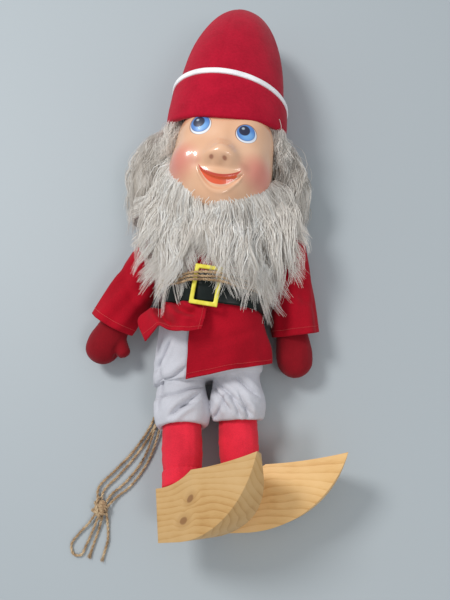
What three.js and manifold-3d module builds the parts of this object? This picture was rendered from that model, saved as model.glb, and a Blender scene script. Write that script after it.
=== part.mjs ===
// A nisse doll lying on its back: stuffed cloth trunk, arms and legs, a moulded face, mohair hair and
// beard, a felt cone hat, a red coat with belt, buckle and twine, knee breeches and sawn wooden clogs.
// Millimetres. +Z points out of the belly, +Y runs from the feet to the hat, +X is the doll's left side.
// The pieces are laid out from the crotch at table height, and the whole is then centred on its base.
import * as THREE from "three";
import { mergeVertices } from "three/addons/utils/BufferGeometryUtils.js";
import Module from "manifold-3d";

const wasm = await Module();
wasm.setup();
const { degToRad, clamp, lerp, smoothstep } = THREE.MathUtils;

// Clearances
const SEAT_GAP = 0.3;
const LAYER_GAP = 0.6;
const HEAD_CLEARANCE = 2.2;
const CORE_CLEARANCE = 1.3;

// Cloth and felt
const COAT_CLOTH = 2.2;
const HAT_FELT = 5;
const CLOTH_ROUNDNESS = 2.4;

// Trunk: along the body from the crotch, half width, back height and belly height
const SEAT_LENGTH = 36;
const WAIST_AT = 82;
const CHEST_AT = 120;
const SHOULDER_AT = 146;
const TRUNK_LENGTH = 158;
const HIP_HALF_WIDTH = 58;
const WAIST_HALF_WIDTH = 52;
const SHOULDER_HALF_WIDTH = 46.5;
const COLLAR_HALF_WIDTH = 25;
const SEAT_FRONT = 68;
const BELLY_FRONT = 100;
const CHEST_FRONT = 98;
const COLLAR_FRONT = 76;
const PELVIS_TILT = degToRad(12);

// Belt, buckle and the twine wound over them
const BELT_WIDTH = 31.4;
const BELT_THICKNESS = 2.2;
const BUCKLE_WIDTH = 29;
const BUCKLE_HEIGHT = 41;
const BUCKLE_BAR = 4.5;
const BUCKLE_THICKNESS = 3;
const BUCKLE_SHIFT = -1;
const TWINE_DIAMETER = 3;
const TWINE_TURNS = 3;
const TWINE_PITCH = 3.7;
const TWINE_ABOVE_MIDDLE = 6;
const TWINE_EASE = 1;
const TWINE_PRESSED = 1.2;
const BUCKLE_STAND_OFF = 4.2;

// Legs: a ball at the hip, breeches over a stocking, and a foot that is cut to the clog
const HIP_SPACING = 60;
const HIP_SHIFT = 2.5;
const HIP_HEIGHT = 33;
const HIP_BALL = 26;
const LEG_LENGTH = 108;
const BREECHES_LENGTH = 50;
const BREECHES_HALF_WIDTH = 29.5;
const HEM_HALF_WIDTH = 26.5;
const HEM_DEPTH = 26;
const HEM_FOLDS = 7;
const HEM_FOLD_HEIGHT = 0.9;
const STOCKING_RADIUS = 20.5;
const CALF_SWELL = 0.8;
const ANKLE_RADIUS = 20;
const FOOT_RADIUS = 21;
const FOOT_LENGTH = 14;
const LEGS = {
  right: {
    side: -1,
    lean: degToRad(7.5),
    rise: degToRad(7.9),
    toe: degToRad(38),
    level: degToRad(-8),
    roll: degToRad(2.5),
    slide: 9,
  },
  left: {
    side: 1,
    lean: degToRad(6),
    rise: degToRad(-3.9),
    toe: degToRad(10),
    level: degToRad(4),
    roll: degToRad(1),
    slide: 5,
  },
};

// Clog, sawn from a plank: heel to the left, toe to the right, sole at the bottom. Its far side curves
// in to meet the near side at the toe.
const CLOG_WIDTH = 45;
const CLOG_HEEL = 24;
const CLOG_HEEL_HEIGHT = 50;
const CLOG_HEEL_FLAT = 5;
const CLOG_SOLE_FLAT = 2;
const CLOG_TOE = 109;
const CLOG_TOE_HEIGHT = 70;
const CLOG_SIDE_STRAIGHT = 45;
const CLOG_MOUTH = 27;
const CLOG_MOUTH_HEIGHT = 63;
const CLOG_ANKLE_HEIGHT = 52;
const CLOG_EDGE = 0.6;

// Arms: a ball at the shoulder, a wide sleeve and a mitten
const SHOULDER_HEIGHT = 34;
const SHOULDER_BALL = 25;
const ARM_LENGTH = 144;
const ARM_DROP = degToRad(5);
const ELBOW_RADIUS = 17.5;
const WRIST_RADIUS = 16;
const MITTEN_HALF_WIDTH = 20.5;
const MITTEN_HALF_DEPTH = 17;
const MITTEN_LENGTH = 62;
const THUMB_RADIUS = 8.5;
const THUMB_LENGTH = 27;
const THUMB_AT = 106;
const THUMB_ASIDE = 9;
const SLEEVE_LENGTH = 96;
const CUFF_HALF_WIDTH = 26;
const CUFF_HALF_DEPTH = 24;
const ARMS = {
  right: {
    side: -1,
    across: 72,
    along: 143,
    spread: degToRad(25),
    sleeveSpread: degToRad(28),
    thumbSpread: degToRad(52),
    thumbRoll: 0,
  },
  left: {
    side: 1,
    across: 75.2,
    along: 152,
    spread: degToRad(8),
    sleeveSpread: degToRad(10.5),
    thumbSpread: degToRad(12),
    thumbRoll: degToRad(68),
  },
};

// Neck and head
const NECK_RADIUS = 18;
const NECK_AT = 176;
const NECK_HEIGHT = 50;
const HEAD_AT = 228;
const HEAD_HEIGHT = 62;
const HEAD_TILT = degToRad(-6);
const FACE_HALF_WIDTH = 57.5;
const FACE_HALF_LENGTH = 60;
const FOREHEAD_HALF_LENGTH = 78;
const FACE_DEPTH = 65;
const HEAD_BACK_DEPTH = 52;
const HEAD_ROUNDNESS = 2.25;
const MASK_WALL = 2.2;
const MASK_REACH = degToRad(78);

// Face relief: centre across and up, spread across and up, and height, each a smooth bump
const CHEEK = { across: 37, up: -9, wide: 17, high: 16, height: 7.5 };
const NOSE = { across: 0, up: -8, wide: 8.5, high: 7.5, height: 15 };
const NOSTRIL = { across: 6.5, up: -14, wide: 3, high: 2.6, height: -2.4 };
const MUZZLE = { across: 0, up: -27, wide: 24, high: 11, height: 6 };
const CHIN = { across: 0, up: -45, wide: 17, high: 8, height: 9 };
const BROW = { across: 0, up: 38, wide: 34, high: 17, height: 7.5 };
const EYE = { across: 24, up: 21, wide: 8, high: 8, height: 2.4 };
const EYE_SOCKET = { across: 24, up: 21, wide: 15, high: 13, height: -4 };
const MOUTH_HALF_WIDTH = 22;
const MOUTH_UP = -30;
const MOUTH_CURVE = 10;
const MOUTH_OPEN = 9;
const MOUTH_DEPTH = 3.2;

// Hat: the crown along the body from the brim, and its turned-up cuff
const BRIM_AT = 289;
const BRIM_HEIGHT = 69;
const BRIM_LEAN = degToRad(-3.2);
const BRIM_DIP = degToRad(20);
const STRIPE_AT = 323;
const STRIPE_LEAN = degToRad(-8.2);
const STRIPE_DIP = degToRad(4);
const STRIPE_WIDTH = 6;
const STRIPE_THICKNESS = 1.6;
const CROWN_RADIUS = 64.5;
const CROWN_MIDDLE_RADIUS = 60;
const CROWN_UPPER_RADIUS = 48.7;
const CROWN_LENGTH = 182;
const CROWN_ASIDE = 5;
const CROWN_FLATNESS = 0.945;
const CROWN_TIP_HEIGHT = 52;

// Hair beside the head: along, inner edge, outer edge, low and high
const HAIR_RIGHT = [
  [178, 68, 113, 8, 48],
  [200, 60, 119, 2, 66],
  [225, 54, 121, 1.5, 72],
  [250, 52, 121, 1.5, 70],
  [276, 50, 119, 1.5, 64],
  [298, 50, 108, 3, 58],
  [315, 58, 82, 14, 46],
];
const HAIR_LEFT = [
  [176, 66, 97, 8, 48],
  [200, 58, 99, 2, 66],
  [228, 54, 95, 1.5, 72],
  [252, 52, 91, 1.5, 70],
  [274, 50, 84, 1.5, 64],
  [292, 50, 75, 6, 58],
];
const HAIR_BACK_THICKNESS = 8;
const HAIR_BACK_CLEARANCE = 1.9;
const NECK_HAIR_GAP = 2.5;
const HAIR_BACK_REACH = degToRad(66);

// Beard: its edge under the face and its hem with the parting, each across and along
const BEARD_TOP = [
  [-113, 186],
  [-80, 201],
  [-45, 193],
  [6, 183],
  [48, 192],
  [74, 201],
  [101, 190],
];
const BEARD_HEM = [
  [-113, 166],
  [-94, 122],
  [-66, 80],
  [-38, 59],
  [-25, 80],
  [-14, 117],
  [-3, 103],
  [12, 80],
  [45, 64],
  [66, 61],
  [86, 94],
  [101, 155],
];
const BEARD_THICKNESS = 21;
const BEARD_CHIN_RISE = 14;
const BEARD_CHIN_HALF_WIDTH = 70;
const BEARD_EDGE = 5;
const BEARD_SIDE_HEIGHT = 61;

// Coat skirt: the hem along the body, the vents and the turned-up right front
const SKIRT_HEM_AT = -4;
const SKIRT_EASE = 1;
const SKIRT_FOLDS = 3;
const SKIRT_FOLD_HEIGHT = 1.2;
const FRONT_LEFT_FROM = degToRad(25.7);
const FRONT_LEFT_TO = degToRad(102.85);
const FRONT_RIGHT_FROM = degToRad(97);
const FRONT_RIGHT_TO = degToRad(158);
const TURN_UP_AT = 44;
const TURN_UP_BACK_TO = 57;
const TURN_UP_RADIUS = 4;
const TURN_UP_FLARE = 17;
const FRONT_RIGHT_BASE = SEAT_GAP + COAT_CLOTH + LAYER_GAP;
const BACK_FROM = degToRad(167.14);
const BACK_TO = degToRad(372.86);

// Free twine: four strands from the waist, a knot, a loop and two loose ends
const STRAND_RADIUS = TWINE_DIAMETER / 2;
const KNOT_SIZE = [9, 11, 6.5];
const KNOT_AT = [-107, -141];
const LOW = STRAND_RADIUS + 0.35;
const HIGH = LOW + TWINE_DIAMETER + 0.4;
const STRAND_ROUTES = {
  tail_strand_1: [
    [-55.5, 79, 19], [-54.5, 62, 5], [-54, 40, LOW], [-54.4, 8, LOW], [-57, -24, LOW], [-63.5, -50, LOW],
    [-80, -80, LOW], [-98, -102, LOW], [-113, -121, LOW + 0.6], [-110, -138, 5],
  ],
  tail_strand_2: [
    [-51.7, 79, 15], [-50.7, 62, 4.4], [-50.3, 40, LOW], [-50.6, 8, LOW], [-53.2, -24, LOW], [-59.5, -52, LOW],
    [-75.5, -83, LOW], [-92.5, -106, LOW], [-107, -124, LOW + 0.4], [-107, -140, 5],
  ],
  tail_strand_3: [
    [-47.9, 79, 12], [-48.4, 61, 8.4], [-52.2, 38, HIGH], [-52.4, 6, HIGH], [-54.6, -26, HIGH],
    [-57, -47, HIGH - 0.6], [-67, -86, LOW + 0.6], [-83.5, -112, LOW], [-99, -128, LOW + 0.4], [-104, -141, 5],
  ],
  tail_strand_4: [
    [-44.1, 79, 9], [-44.9, 61, 5.6], [-48.4, 38, HIGH], [-48.6, 6, HIGH], [-50.8, -26, HIGH],
    [-51.6, -47, HIGH - 0.6], [-61.5, -88, LOW], [-78, -116, LOW], [-93, -130, LOW + 0.6], [-101, -141, 6],
  ],
};
const LOOP_ROUTE = [
  [-110, -144, 5], [-118, -157, 3], [-127, -168, LOW], [-134, -180, LOW], [-130, -189, LOW],
  [-122, -189, LOW], [-117.5, -178, LOW], [-112.5, -163, 2.6], [-107.5, -147, 5],
];
const END_ROUTES = {
  tail_end_1: [[-103.5, -145, 5], [-106, -160, 2.4], [-109, -173, LOW], [-112, -186, LOW]],
  tail_end_2: [[-100, -145, 5], [-97.5, -158, 2.2], [-95.5, -172, LOW], [-98, -188, LOW]],
};

// Faces round a section
const BODY_SIDES = 28;
const LIMB_SIDES = 16;
const BREECHES_SIDES = 28;
const HAT_SIDES = 26;
const HAIR_SIDES = 16;
const HAIR_BACK_SIDES = 20;

// Materials
const material = (name, color, roughness) =>
  new THREE.MeshStandardMaterial({ name, color, roughness, metalness: 0 });
const feltRed = material("felt", 0xa4142e, 0.95);
const coatRed = material("coat_cloth", 0xa80f24, 0.9);
const knitRed = material("red_knit", 0xd0283c, 0.9);
const cottonGrey = material("breeches_cotton", 0xc8c8d4, 0.85);
const white = material("white_trim", 0xf0eeee, 0.8);
const vinylBlack = material("belt_vinyl", 0x141c1a, 0.35);
const plasticYellow = material("buckle_plastic", 0xe8dc4a, 0.4);
const facePlastic = material("face_plastic", 0xe8bf9c, 0.25);
const mohair = material("mohair", 0xc4bfb8, 0.8);
const pine = material("pine", 0xd0a468, 0.6);
const jute = material("twine", 0xb49c78, 0.9);
const calico = material("stuffed_cloth", 0xd8c8b0, 0.9);

// Closed meshes

function facingOut(position, index) {
  const geometry = new THREE.BufferGeometry();
  const at = (i) => new THREE.Vector3(position[3 * i], position[3 * i + 1], position[3 * i + 2]);
  let volume = 0;
  for (let i = 0; i < index.length; i += 3)
    volume += at(index[i]).dot(at(index[i + 1]).cross(at(index[i + 2])));
  if (volume < 0)
    for (let i = 0; i < index.length; i += 3)
      [index[i + 1], index[i + 2]] = [index[i + 2], index[i + 1]];
  geometry.setAttribute("position", new THREE.Float32BufferAttribute(position, 3));
  geometry.setIndex(index);
  return geometry;
}

// A skin over rings of equal count, with flat ends, or closed end to end where it is a loop
function ringSolid(rings, loop = false) {
  const sides = rings[0].length;
  const position = rings.flat().flatMap((p) => [p.x, p.y, p.z]);
  const index = [];
  const bands = loop ? rings.length : rings.length - 1;
  for (let r = 0; r < bands; r++)
    for (let s = 0; s < sides; s++) {
      const a = r * sides + s;
      const b = r * sides + ((s + 1) % sides);
      const c = ((r + 1) % rings.length) * sides + s;
      const d = ((r + 1) % rings.length) * sides + ((s + 1) % sides);
      index.push(a, b, d, a, d, c);
    }
  if (!loop)
    for (const r of [0, rings.length - 1]) {
      const centre = new THREE.Vector3();
      rings[r].forEach((p) => centre.addScaledVector(p, 1 / sides));
      const tip = position.length / 3;
      position.push(centre.x, centre.y, centre.z);
      for (let s = 0; s < sides; s++) {
        const here = r * sides + s;
        const next = r * sides + ((s + 1) % sides);
        if (r === 0) index.push(tip, next, here);
        else index.push(tip, here, next);
      }
    }
  return facingOut(position, index);
}

// A sheet between two surfaces of (u, v), each from 0 to 1, closed round its edge
function sheetSolid(upper, lower, across, along) {
  const rings = [];
  for (let j = 0; j <= along; j++) {
    const ring = [];
    for (let i = 0; i <= across; i++) ring.push(upper(i / across, j / along));
    for (let i = across; i >= 0; i--) ring.push(lower(i / across, j / along));
    rings.push(ring);
  }
  const sides = 2 * (across + 1);
  const position = rings.flat().flatMap((p) => [p.x, p.y, p.z]);
  const index = [];
  for (let j = 0; j < along; j++)
    for (let s = 0; s < sides; s++) {
      const a = j * sides + s;
      const b = j * sides + ((s + 1) % sides);
      index.push(a, b, b + sides, a, b + sides, a + sides);
    }
  for (const j of [0, along])
    for (let i = 0; i < across; i++) {
      const a = j * sides + i;
      const b = a + 1;
      const c = j * sides + sides - 1 - i;
      const d = c - 1;
      if (j === 0) index.push(b, a, c, b, c, d);
      else index.push(a, b, c, b, d, c);
    }
  return facingOut(position, index);
}

function asSolid(geometry) {
  const bare = new THREE.BufferGeometry();
  bare.setAttribute("position", geometry.getAttribute("position").clone());
  if (geometry.index) bare.setIndex(geometry.index.clone());
  const merged = mergeVertices(bare, 1e-3);
  const mesh = new wasm.Mesh({
    numProp: 3,
    vertProperties: new Float32Array(merged.attributes.position.array),
    triVerts: new Uint32Array(merged.index.array),
  });
  return new wasm.Manifold(mesh);
}

function asGeometry(solid) {
  const mesh = solid.getMesh();
  const geometry = new THREE.BufferGeometry();
  geometry.setAttribute("position", new THREE.BufferAttribute(mesh.vertProperties, 3));
  geometry.setIndex(new THREE.BufferAttribute(mesh.triVerts, 1));
  return geometry;
}

// What is left of a geometry outside the cutters: its largest body
function cut(geometry, cutters) {
  let solid = asSolid(geometry);
  for (const cutter of cutters) solid = solid.subtract(asSolid(cutter));
  const bodies = solid.decompose().sort((a, b) => b.volume() - a.volume());
  return asGeometry(bodies[0]);
}

const joined = (geometries) =>
  asGeometry(geometries.map(asSolid).reduce((whole, piece) => whole.add(piece)));

const moved = (geometry, matrix) => geometry.clone().applyMatrix4(matrix);

const floorBlock = () => new THREE.BoxGeometry(2000, 2000, 100).translate(0, 0, -50);

// Smooth value of one column of stations, at a place along their first column
function stationValue(stations, along, column) {
  let i = 0;
  while (i < stations.length - 2 && along > stations[i + 1][0]) i++;
  const a = stations[i];
  const b = stations[i + 1];
  const before = stations[Math.max(i - 1, 0)];
  const after = stations[Math.min(i + 2, stations.length - 1)];
  const span = b[0] - a[0];
  const t = clamp((along - a[0]) / span, 0, 1);
  const slopeA = ((b[column] - before[column]) / (b[0] - before[0])) * span;
  const slopeB = ((after[column] - a[column]) / (after[0] - a[0])) * span;
  const rise = t * t * (3 - 2 * t);
  return (
    lerp(a[column], b[column], rise) +
    t * (1 - t) * (1 - t) * slopeA -
    t * t * (1 - t) * slopeB
  );
}

const power = (value, exponent) => Math.sign(value) * Math.abs(value) ** exponent;
const turn = (s, sides) => (2 * Math.PI * s) / sides;
const steps = (from, to, count) =>
  Array.from({ length: count + 1 }, (_, i) => lerp(from, to, i / count));

// A ring in the plane across Y: a superellipse about (x, z)
function ringAt(y, x, z, halfWidth, halfDepth, sides, roundness = 2) {
  return Array.from({ length: sides }, (_, s) => {
    const angle = turn(s, sides);
    return new THREE.Vector3(
      x + halfWidth * power(Math.cos(angle), 2 / roundness),
      y,
      z + halfDepth * power(Math.sin(angle), 2 / roundness),
    );
  });
}

// Bodies of stations down -Y from a pivot: each station is [distance, half width, half depth]
const limbRings = (stations, sides) =>
  stations.map(([distance, halfWidth, halfDepth]) =>
    ringAt(-distance, 0, 0, halfWidth, halfDepth ?? halfWidth, sides),
  );

// The stations of a ball of a radius, from its pole above the pivot to an angle past its equator
const ballStations = (radius, past, count) =>
  steps(degToRad(-86), past, count).map((a) => [radius * Math.sin(a), radius * Math.cos(a)]);

// Trunk surface

const TRUNK = [
  [0, HIP_HALF_WIDTH, 2, SEAT_FRONT],
  [SEAT_LENGTH, HIP_HALF_WIDTH - 1, 2, lerp(SEAT_FRONT, BELLY_FRONT, 0.5)],
  [WAIST_AT, WAIST_HALF_WIDTH, 2, BELLY_FRONT],
  [CHEST_AT, lerp(WAIST_HALF_WIDTH, SHOULDER_HALF_WIDTH, 0.3), 2, CHEST_FRONT],
  [SHOULDER_AT, SHOULDER_HALF_WIDTH, 8, lerp(CHEST_FRONT, COLLAR_FRONT, 0.4)],
  [TRUNK_LENGTH, COLLAR_HALF_WIDTH, 24, COLLAR_FRONT],
];
const TWINE_OVER_BELT = BELT_THICKNESS + TWINE_DIAMETER + 2 * SEAT_GAP + LAYER_GAP;
const BELT_LOW = WAIST_AT - BELT_WIDTH / 2;
const BELT_HIGH = WAIST_AT + BELT_WIDTH / 2;
const COLLAR_AT = TRUNK_LENGTH - 3;

// The rings along the trunk that all its layers share, so that their facets agree
const PLACES = [
  0,
  ...steps(0, SEAT_LENGTH, 3).slice(1),
  SEAT_LENGTH + SEAT_GAP,
  ...steps(SEAT_LENGTH + SEAT_GAP, BELT_LOW, 2).slice(1),
  WAIST_AT,
  BELT_HIGH,
  ...steps(BELT_HIGH, SHOULDER_AT, 3).slice(1),
  lerp(SHOULDER_AT, COLLAR_AT, 0.5),
  COLLAR_AT,
  TRUNK_LENGTH,
];
const placesFrom = (from, to) => PLACES.filter((along) => along >= from - 0.01 && along <= to + 0.01);

// The belt and the twine lie between the coat and the table, so the back is hollowed there
const waistRise = (along) =>
  TWINE_OVER_BELT *
  smoothstep(along, WAIST_AT - BELT_WIDTH, WAIST_AT - BELT_WIDTH / 2 - 2) *
  (1 - smoothstep(along, WAIST_AT + BELT_WIDTH / 2 + 2, WAIST_AT + BELT_WIDTH));

const trunkTilt = (along) => PELVIS_TILT * (1 - smoothstep(along, 0, WAIST_AT - BELT_WIDTH / 2));

// A point of the trunk's skin, or of a layer that lies outside it, no lower than a floor
function trunkPoint(along, angle, out, floor) {
  const halfWidth = stationValue(TRUNK, along, 1) + out;
  const back = stationValue(TRUNK, along, 2);
  const front = stationValue(TRUNK, along, 3);
  const x = halfWidth * power(Math.cos(angle), 2 / CLOTH_ROUNDNESS);
  const z = (front + back) / 2 + ((front - back) / 2 + out) * power(Math.sin(angle), 2 / CLOTH_ROUNDNESS);
  return new THREE.Vector3(x, along + x * Math.tan(trunkTilt(along)), Math.max(z, floor));
}

const trunkRing = (along, out, floor) =>
  Array.from({ length: BODY_SIDES }, (_, s) => trunkPoint(along, turn(s, BODY_SIDES), out, floor));

const COAT_OUT = SEAT_GAP + COAT_CLOTH;
const stuffingFloor = (along) => COAT_OUT + waistRise(along);

// Groups of the scene graph, one for each turned part of the doll

const doll = new THREE.Group();
const pelvis = new THREE.Group();
pelvis.position.set(HIP_SHIFT * Math.sin(PELVIS_TILT), HIP_SHIFT, 0);
pelvis.rotation.z = PELVIS_TILT;
doll.add(pelvis);

const legGroups = {};
const clogGroups = {};
for (const [name, { side, lean, rise, toe, level, roll }] of Object.entries(LEGS)) {
  const leg = new THREE.Group();
  const hip = new THREE.Vector3((side * HIP_SPACING) / 2, 0, HIP_HEIGHT).applyMatrix4(
    new THREE.Matrix4().makeRotationZ(PELVIS_TILT),
  );
  leg.position.set(hip.x + pelvis.position.x, hip.y + pelvis.position.y, hip.z);
  leg.rotation.set(-rise, 0, lean, "ZXY");
  const clog = new THREE.Group();
  clog.position.set(0, -LEG_LENGTH, 0);
  clog.rotation.set(-level, -toe, roll, "XYZ");
  leg.add(clog);
  doll.add(leg);
  legGroups[name] = leg;
  clogGroups[name] = clog;
}

const armGroups = {};
const sleeveGroups = {};
for (const [name, { side, across, along, spread, sleeveSpread }] of Object.entries(ARMS)) {
  for (const [groups, angle] of [[armGroups, spread], [sleeveGroups, sleeveSpread]]) {
    const group = new THREE.Group();
    group.position.set(side * across, along, SHOULDER_HEIGHT);
    group.rotation.set(ARM_DROP, 0, side * angle, "ZXY");
    doll.add(group);
    groups[name] = group;
  }
}

const head = new THREE.Group();
head.position.set(0, HEAD_AT, HEAD_HEIGHT);
head.rotation.z = HEAD_TILT;
doll.add(head);
doll.updateMatrixWorld(true);

function addPiece(group, name, geometry, look) {
  const mesh = new THREE.Mesh(geometry, look);
  mesh.name = name;
  group.add(mesh);
}

// A piece whose geometry is in the doll's frame, hung in a turned group
function addPlaced(group, name, geometry, look) {
  addPiece(group, name, moved(geometry, group.matrixWorld.clone().invert()), look);
}

// Shoulders

const armholeBall = (radius, { side, across, along }) =>
  new THREE.SphereGeometry(radius, 20, 12).translate(side * across, along, SHOULDER_HEIGHT);
const armholes = Object.values(ARMS).map((arm) => armholeBall(SHOULDER_BALL + 3 * SEAT_GAP, arm));

// Trunk, seat and coat body

const hipSockets = Object.values(legGroups).map((leg) =>
  new THREE.SphereGeometry(HIP_BALL + 3 * SEAT_GAP, 18, 11).translate(
    leg.position.x,
    leg.position.y,
    leg.position.z,
  ),
);

function addTrunk() {
  const seat = ringSolid(
    placesFrom(0, SEAT_LENGTH).map((along) => trunkRing(along, 0, stuffingFloor(along))),
  );
  addPiece(doll, "breeches_seat", cut(seat, hipSockets), cottonGrey);

  const trunk = ringSolid(
    placesFrom(SEAT_LENGTH + SEAT_GAP, TRUNK_LENGTH).map((along) =>
      trunkRing(along, 0, stuffingFloor(along)),
    ),
  );
  addPiece(doll, "trunk", cut(trunk, armholes), calico);

  const places = placesFrom(BELT_LOW, COLLAR_AT);
  const inner = places.map((along) => trunkRing(along, SEAT_GAP, COAT_CLOTH + waistRise(along)));
  const outer = places.map((along) => trunkRing(along, COAT_OUT, waistRise(along))).reverse();
  addPiece(doll, "coat_body", cut(ringSolid([...inner, ...outer], true), armholes), coatRed);
}

// Belt, buckle and twine

// The belt rides over the buckle's middle bar, so it stands off the coat in front
const buckleStandOff = (x) =>
  BUCKLE_STAND_OFF * (1 - smoothstep(Math.abs(x - BUCKLE_SHIFT), 5, BUCKLE_WIDTH / 2 + 8));
const BELT_BASE = COAT_OUT + LAYER_GAP;

// A point of a band round the waist that clears the buckle, at a height over the belt's inner face
function bandPoint(along, angle, height, floor) {
  const near = trunkPoint(along, angle, BELT_BASE, 0);
  const front = smoothstep(Math.sin(angle), 0.3, 0.8);
  return trunkPoint(along, angle, BELT_BASE + height + front * buckleStandOff(near.x), floor);
}

function addBelt() {
  const rings = [];
  const sides = 1.5 * BODY_SIDES;
  for (let s = 0; s < sides; s++) {
    const angle = turn(s, sides);
    const outer = BELT_THICKNESS;
    const floor = TWINE_DIAMETER + SEAT_GAP;
    rings.push([
      bandPoint(BELT_LOW, angle, 0, floor + BELT_THICKNESS),
      bandPoint(BELT_LOW, angle, outer, floor),
      bandPoint(WAIST_AT, angle, outer, floor),
      bandPoint(BELT_HIGH, angle, outer, floor),
      bandPoint(BELT_HIGH, angle, 0, floor + BELT_THICKNESS),
      bandPoint(WAIST_AT, angle, 0, floor + BELT_THICKNESS),
    ]);
  }
  addPiece(doll, "belt", ringSolid(rings, true), vinylBlack);
}

// A frame of four bars in front of the belt, and a middle bar behind it
function addBuckle() {
  const belt = bandPoint(WAIST_AT, Math.PI / 2, 0, 0).z;
  const front = belt + BELT_THICKNESS + SEAT_GAP;
  const outline = new THREE.Shape();
  const halfWidth = BUCKLE_WIDTH / 2;
  const halfHeight = BUCKLE_HEIGHT / 2;
  outline.moveTo(-halfWidth, -halfHeight);
  outline.lineTo(halfWidth, -halfHeight);
  outline.lineTo(halfWidth, halfHeight);
  outline.lineTo(-halfWidth, halfHeight);
  outline.closePath();
  const opening = new THREE.Path();
  opening.moveTo(-halfWidth + BUCKLE_BAR, -halfHeight + BUCKLE_BAR);
  opening.lineTo(-halfWidth + BUCKLE_BAR, halfHeight - BUCKLE_BAR);
  opening.lineTo(halfWidth - BUCKLE_BAR, halfHeight - BUCKLE_BAR);
  opening.lineTo(halfWidth - BUCKLE_BAR, -halfHeight + BUCKLE_BAR);
  opening.closePath();
  outline.holes.push(opening);
  const edge = 0.6;
  const frame = new THREE.ExtrudeGeometry(outline, {
    depth: BUCKLE_THICKNESS - 2 * edge,
    bevelThickness: edge,
    bevelSize: edge,
    bevelOffset: -edge,
    bevelSegments: 1,
  }).translate(0, 0, front + edge);
  const low = bandPoint(BELT_LOW, Math.PI / 2, 0, 0).z;
  const high = bandPoint(BELT_HIGH, Math.PI / 2, 0, 0).z;
  const barLow = (low + high) / 2 - BUCKLE_THICKNESS;
  const bar = new THREE.BoxGeometry(BUCKLE_BAR, BUCKLE_HEIGHT - 2 * edge, BUCKLE_THICKNESS - 2 * SEAT_GAP);
  bar.translate(0, 0, barLow + BUCKLE_THICKNESS / 2 - SEAT_GAP);
  const ends = [-1, 1].map((end) =>
    new THREE.BoxGeometry(BUCKLE_BAR, BUCKLE_BAR - 2 * edge, front + 1 - barLow).translate(
      0,
      end * (halfHeight - BUCKLE_BAR / 2),
      (barLow + front + 1) / 2,
    ),
  );
  const whole = joined([frame, bar, ...ends]);
  const lean = Math.atan2(high - low, BELT_WIDTH);
  whole.translate(0, 0, -belt).rotateX(lean).rotateZ(degToRad(-6)).translate(BUCKLE_SHIFT, WAIST_AT, belt);
  addPiece(doll, "buckle", whole, plasticYellow);
}

// The twine's centreline round the waist, starting low at the right of the back
const TWINE_START = degToRad(232);
function twineAt(turns) {
  const angle = TWINE_START + 2 * Math.PI * turns;
  const along = WAIST_AT + TWINE_ABOVE_MIDDLE + TWINE_PITCH * (turns - TWINE_TURNS / 2);
  const beltFace = BELT_THICKNESS + TWINE_EASE + TWINE_DIAMETER / 2;
  const near = trunkPoint(along, angle, BELT_BASE, 0);
  const overFrame =
    smoothstep(Math.sin(angle), 0.3, 0.8) *
    (BUCKLE_THICKNESS + SEAT_GAP + 3 * TWINE_EASE) *
    (1 - smoothstep(Math.abs(near.x - BUCKLE_SHIFT), BUCKLE_WIDTH / 2, BUCKLE_WIDTH / 2 + 16));
  const point = bandPoint(along, angle, beltFace + overFrame, 0);
  if (point.z < 2 * TWINE_DIAMETER) point.z = TWINE_PRESSED;
  return point;
}

function addTwine() {
  const perTurn = 24;
  const sides = 6;
  const count = TWINE_TURNS * perTurn;
  const centres = steps(0, TWINE_TURNS, count).map(twineAt);
  const rings = centres.map((centre, i) => {
    const ahead = centres[Math.min(i + 1, count)];
    const behind = centres[Math.max(i - 1, 0)];
    const forward = ahead.clone().sub(behind).normalize();
    const along = new THREE.Vector3(0, 1, 0).addScaledVector(forward, -forward.y).normalize();
    const out = forward.clone().cross(along);
    return Array.from({ length: sides }, (_, s) => {
      const angle = turn(s, sides);
      const p = centre.clone().addScaledVector(along, (TWINE_DIAMETER / 2) * Math.cos(angle));
      p.addScaledVector(out, (TWINE_DIAMETER / 2) * Math.sin(angle));
      return p.setZ(Math.max(p.z, 0));
    });
  });
  let least = Infinity;
  for (let i = 0; i <= count; i++)
    for (let j = i + perTurn / 2; j <= count; j++)
      least = Math.min(least, centres[i].distanceTo(centres[j]) - TWINE_DIAMETER);
  console.log("waist twine: least gap to itself", least.toFixed(2), "mm");
  addPiece(doll, "waist_twine", ringSolid(rings), jute);
}

// Coat skirt

// A wavy layer over the breeches, as the cloth stands away from them
function skirtPoint(along, angle, out, floor) {
  const loose = 1 - smoothstep(along, SKIRT_HEM_AT, WAIST_AT - BELT_WIDTH / 2);
  const fold = SKIRT_FOLD_HEIGHT * (1 + Math.sin(2 * SKIRT_FOLDS * angle + 0.06 * along));
  return trunkPoint(along, angle, out + loose * (SKIRT_EASE + fold), floor);
}

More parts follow.
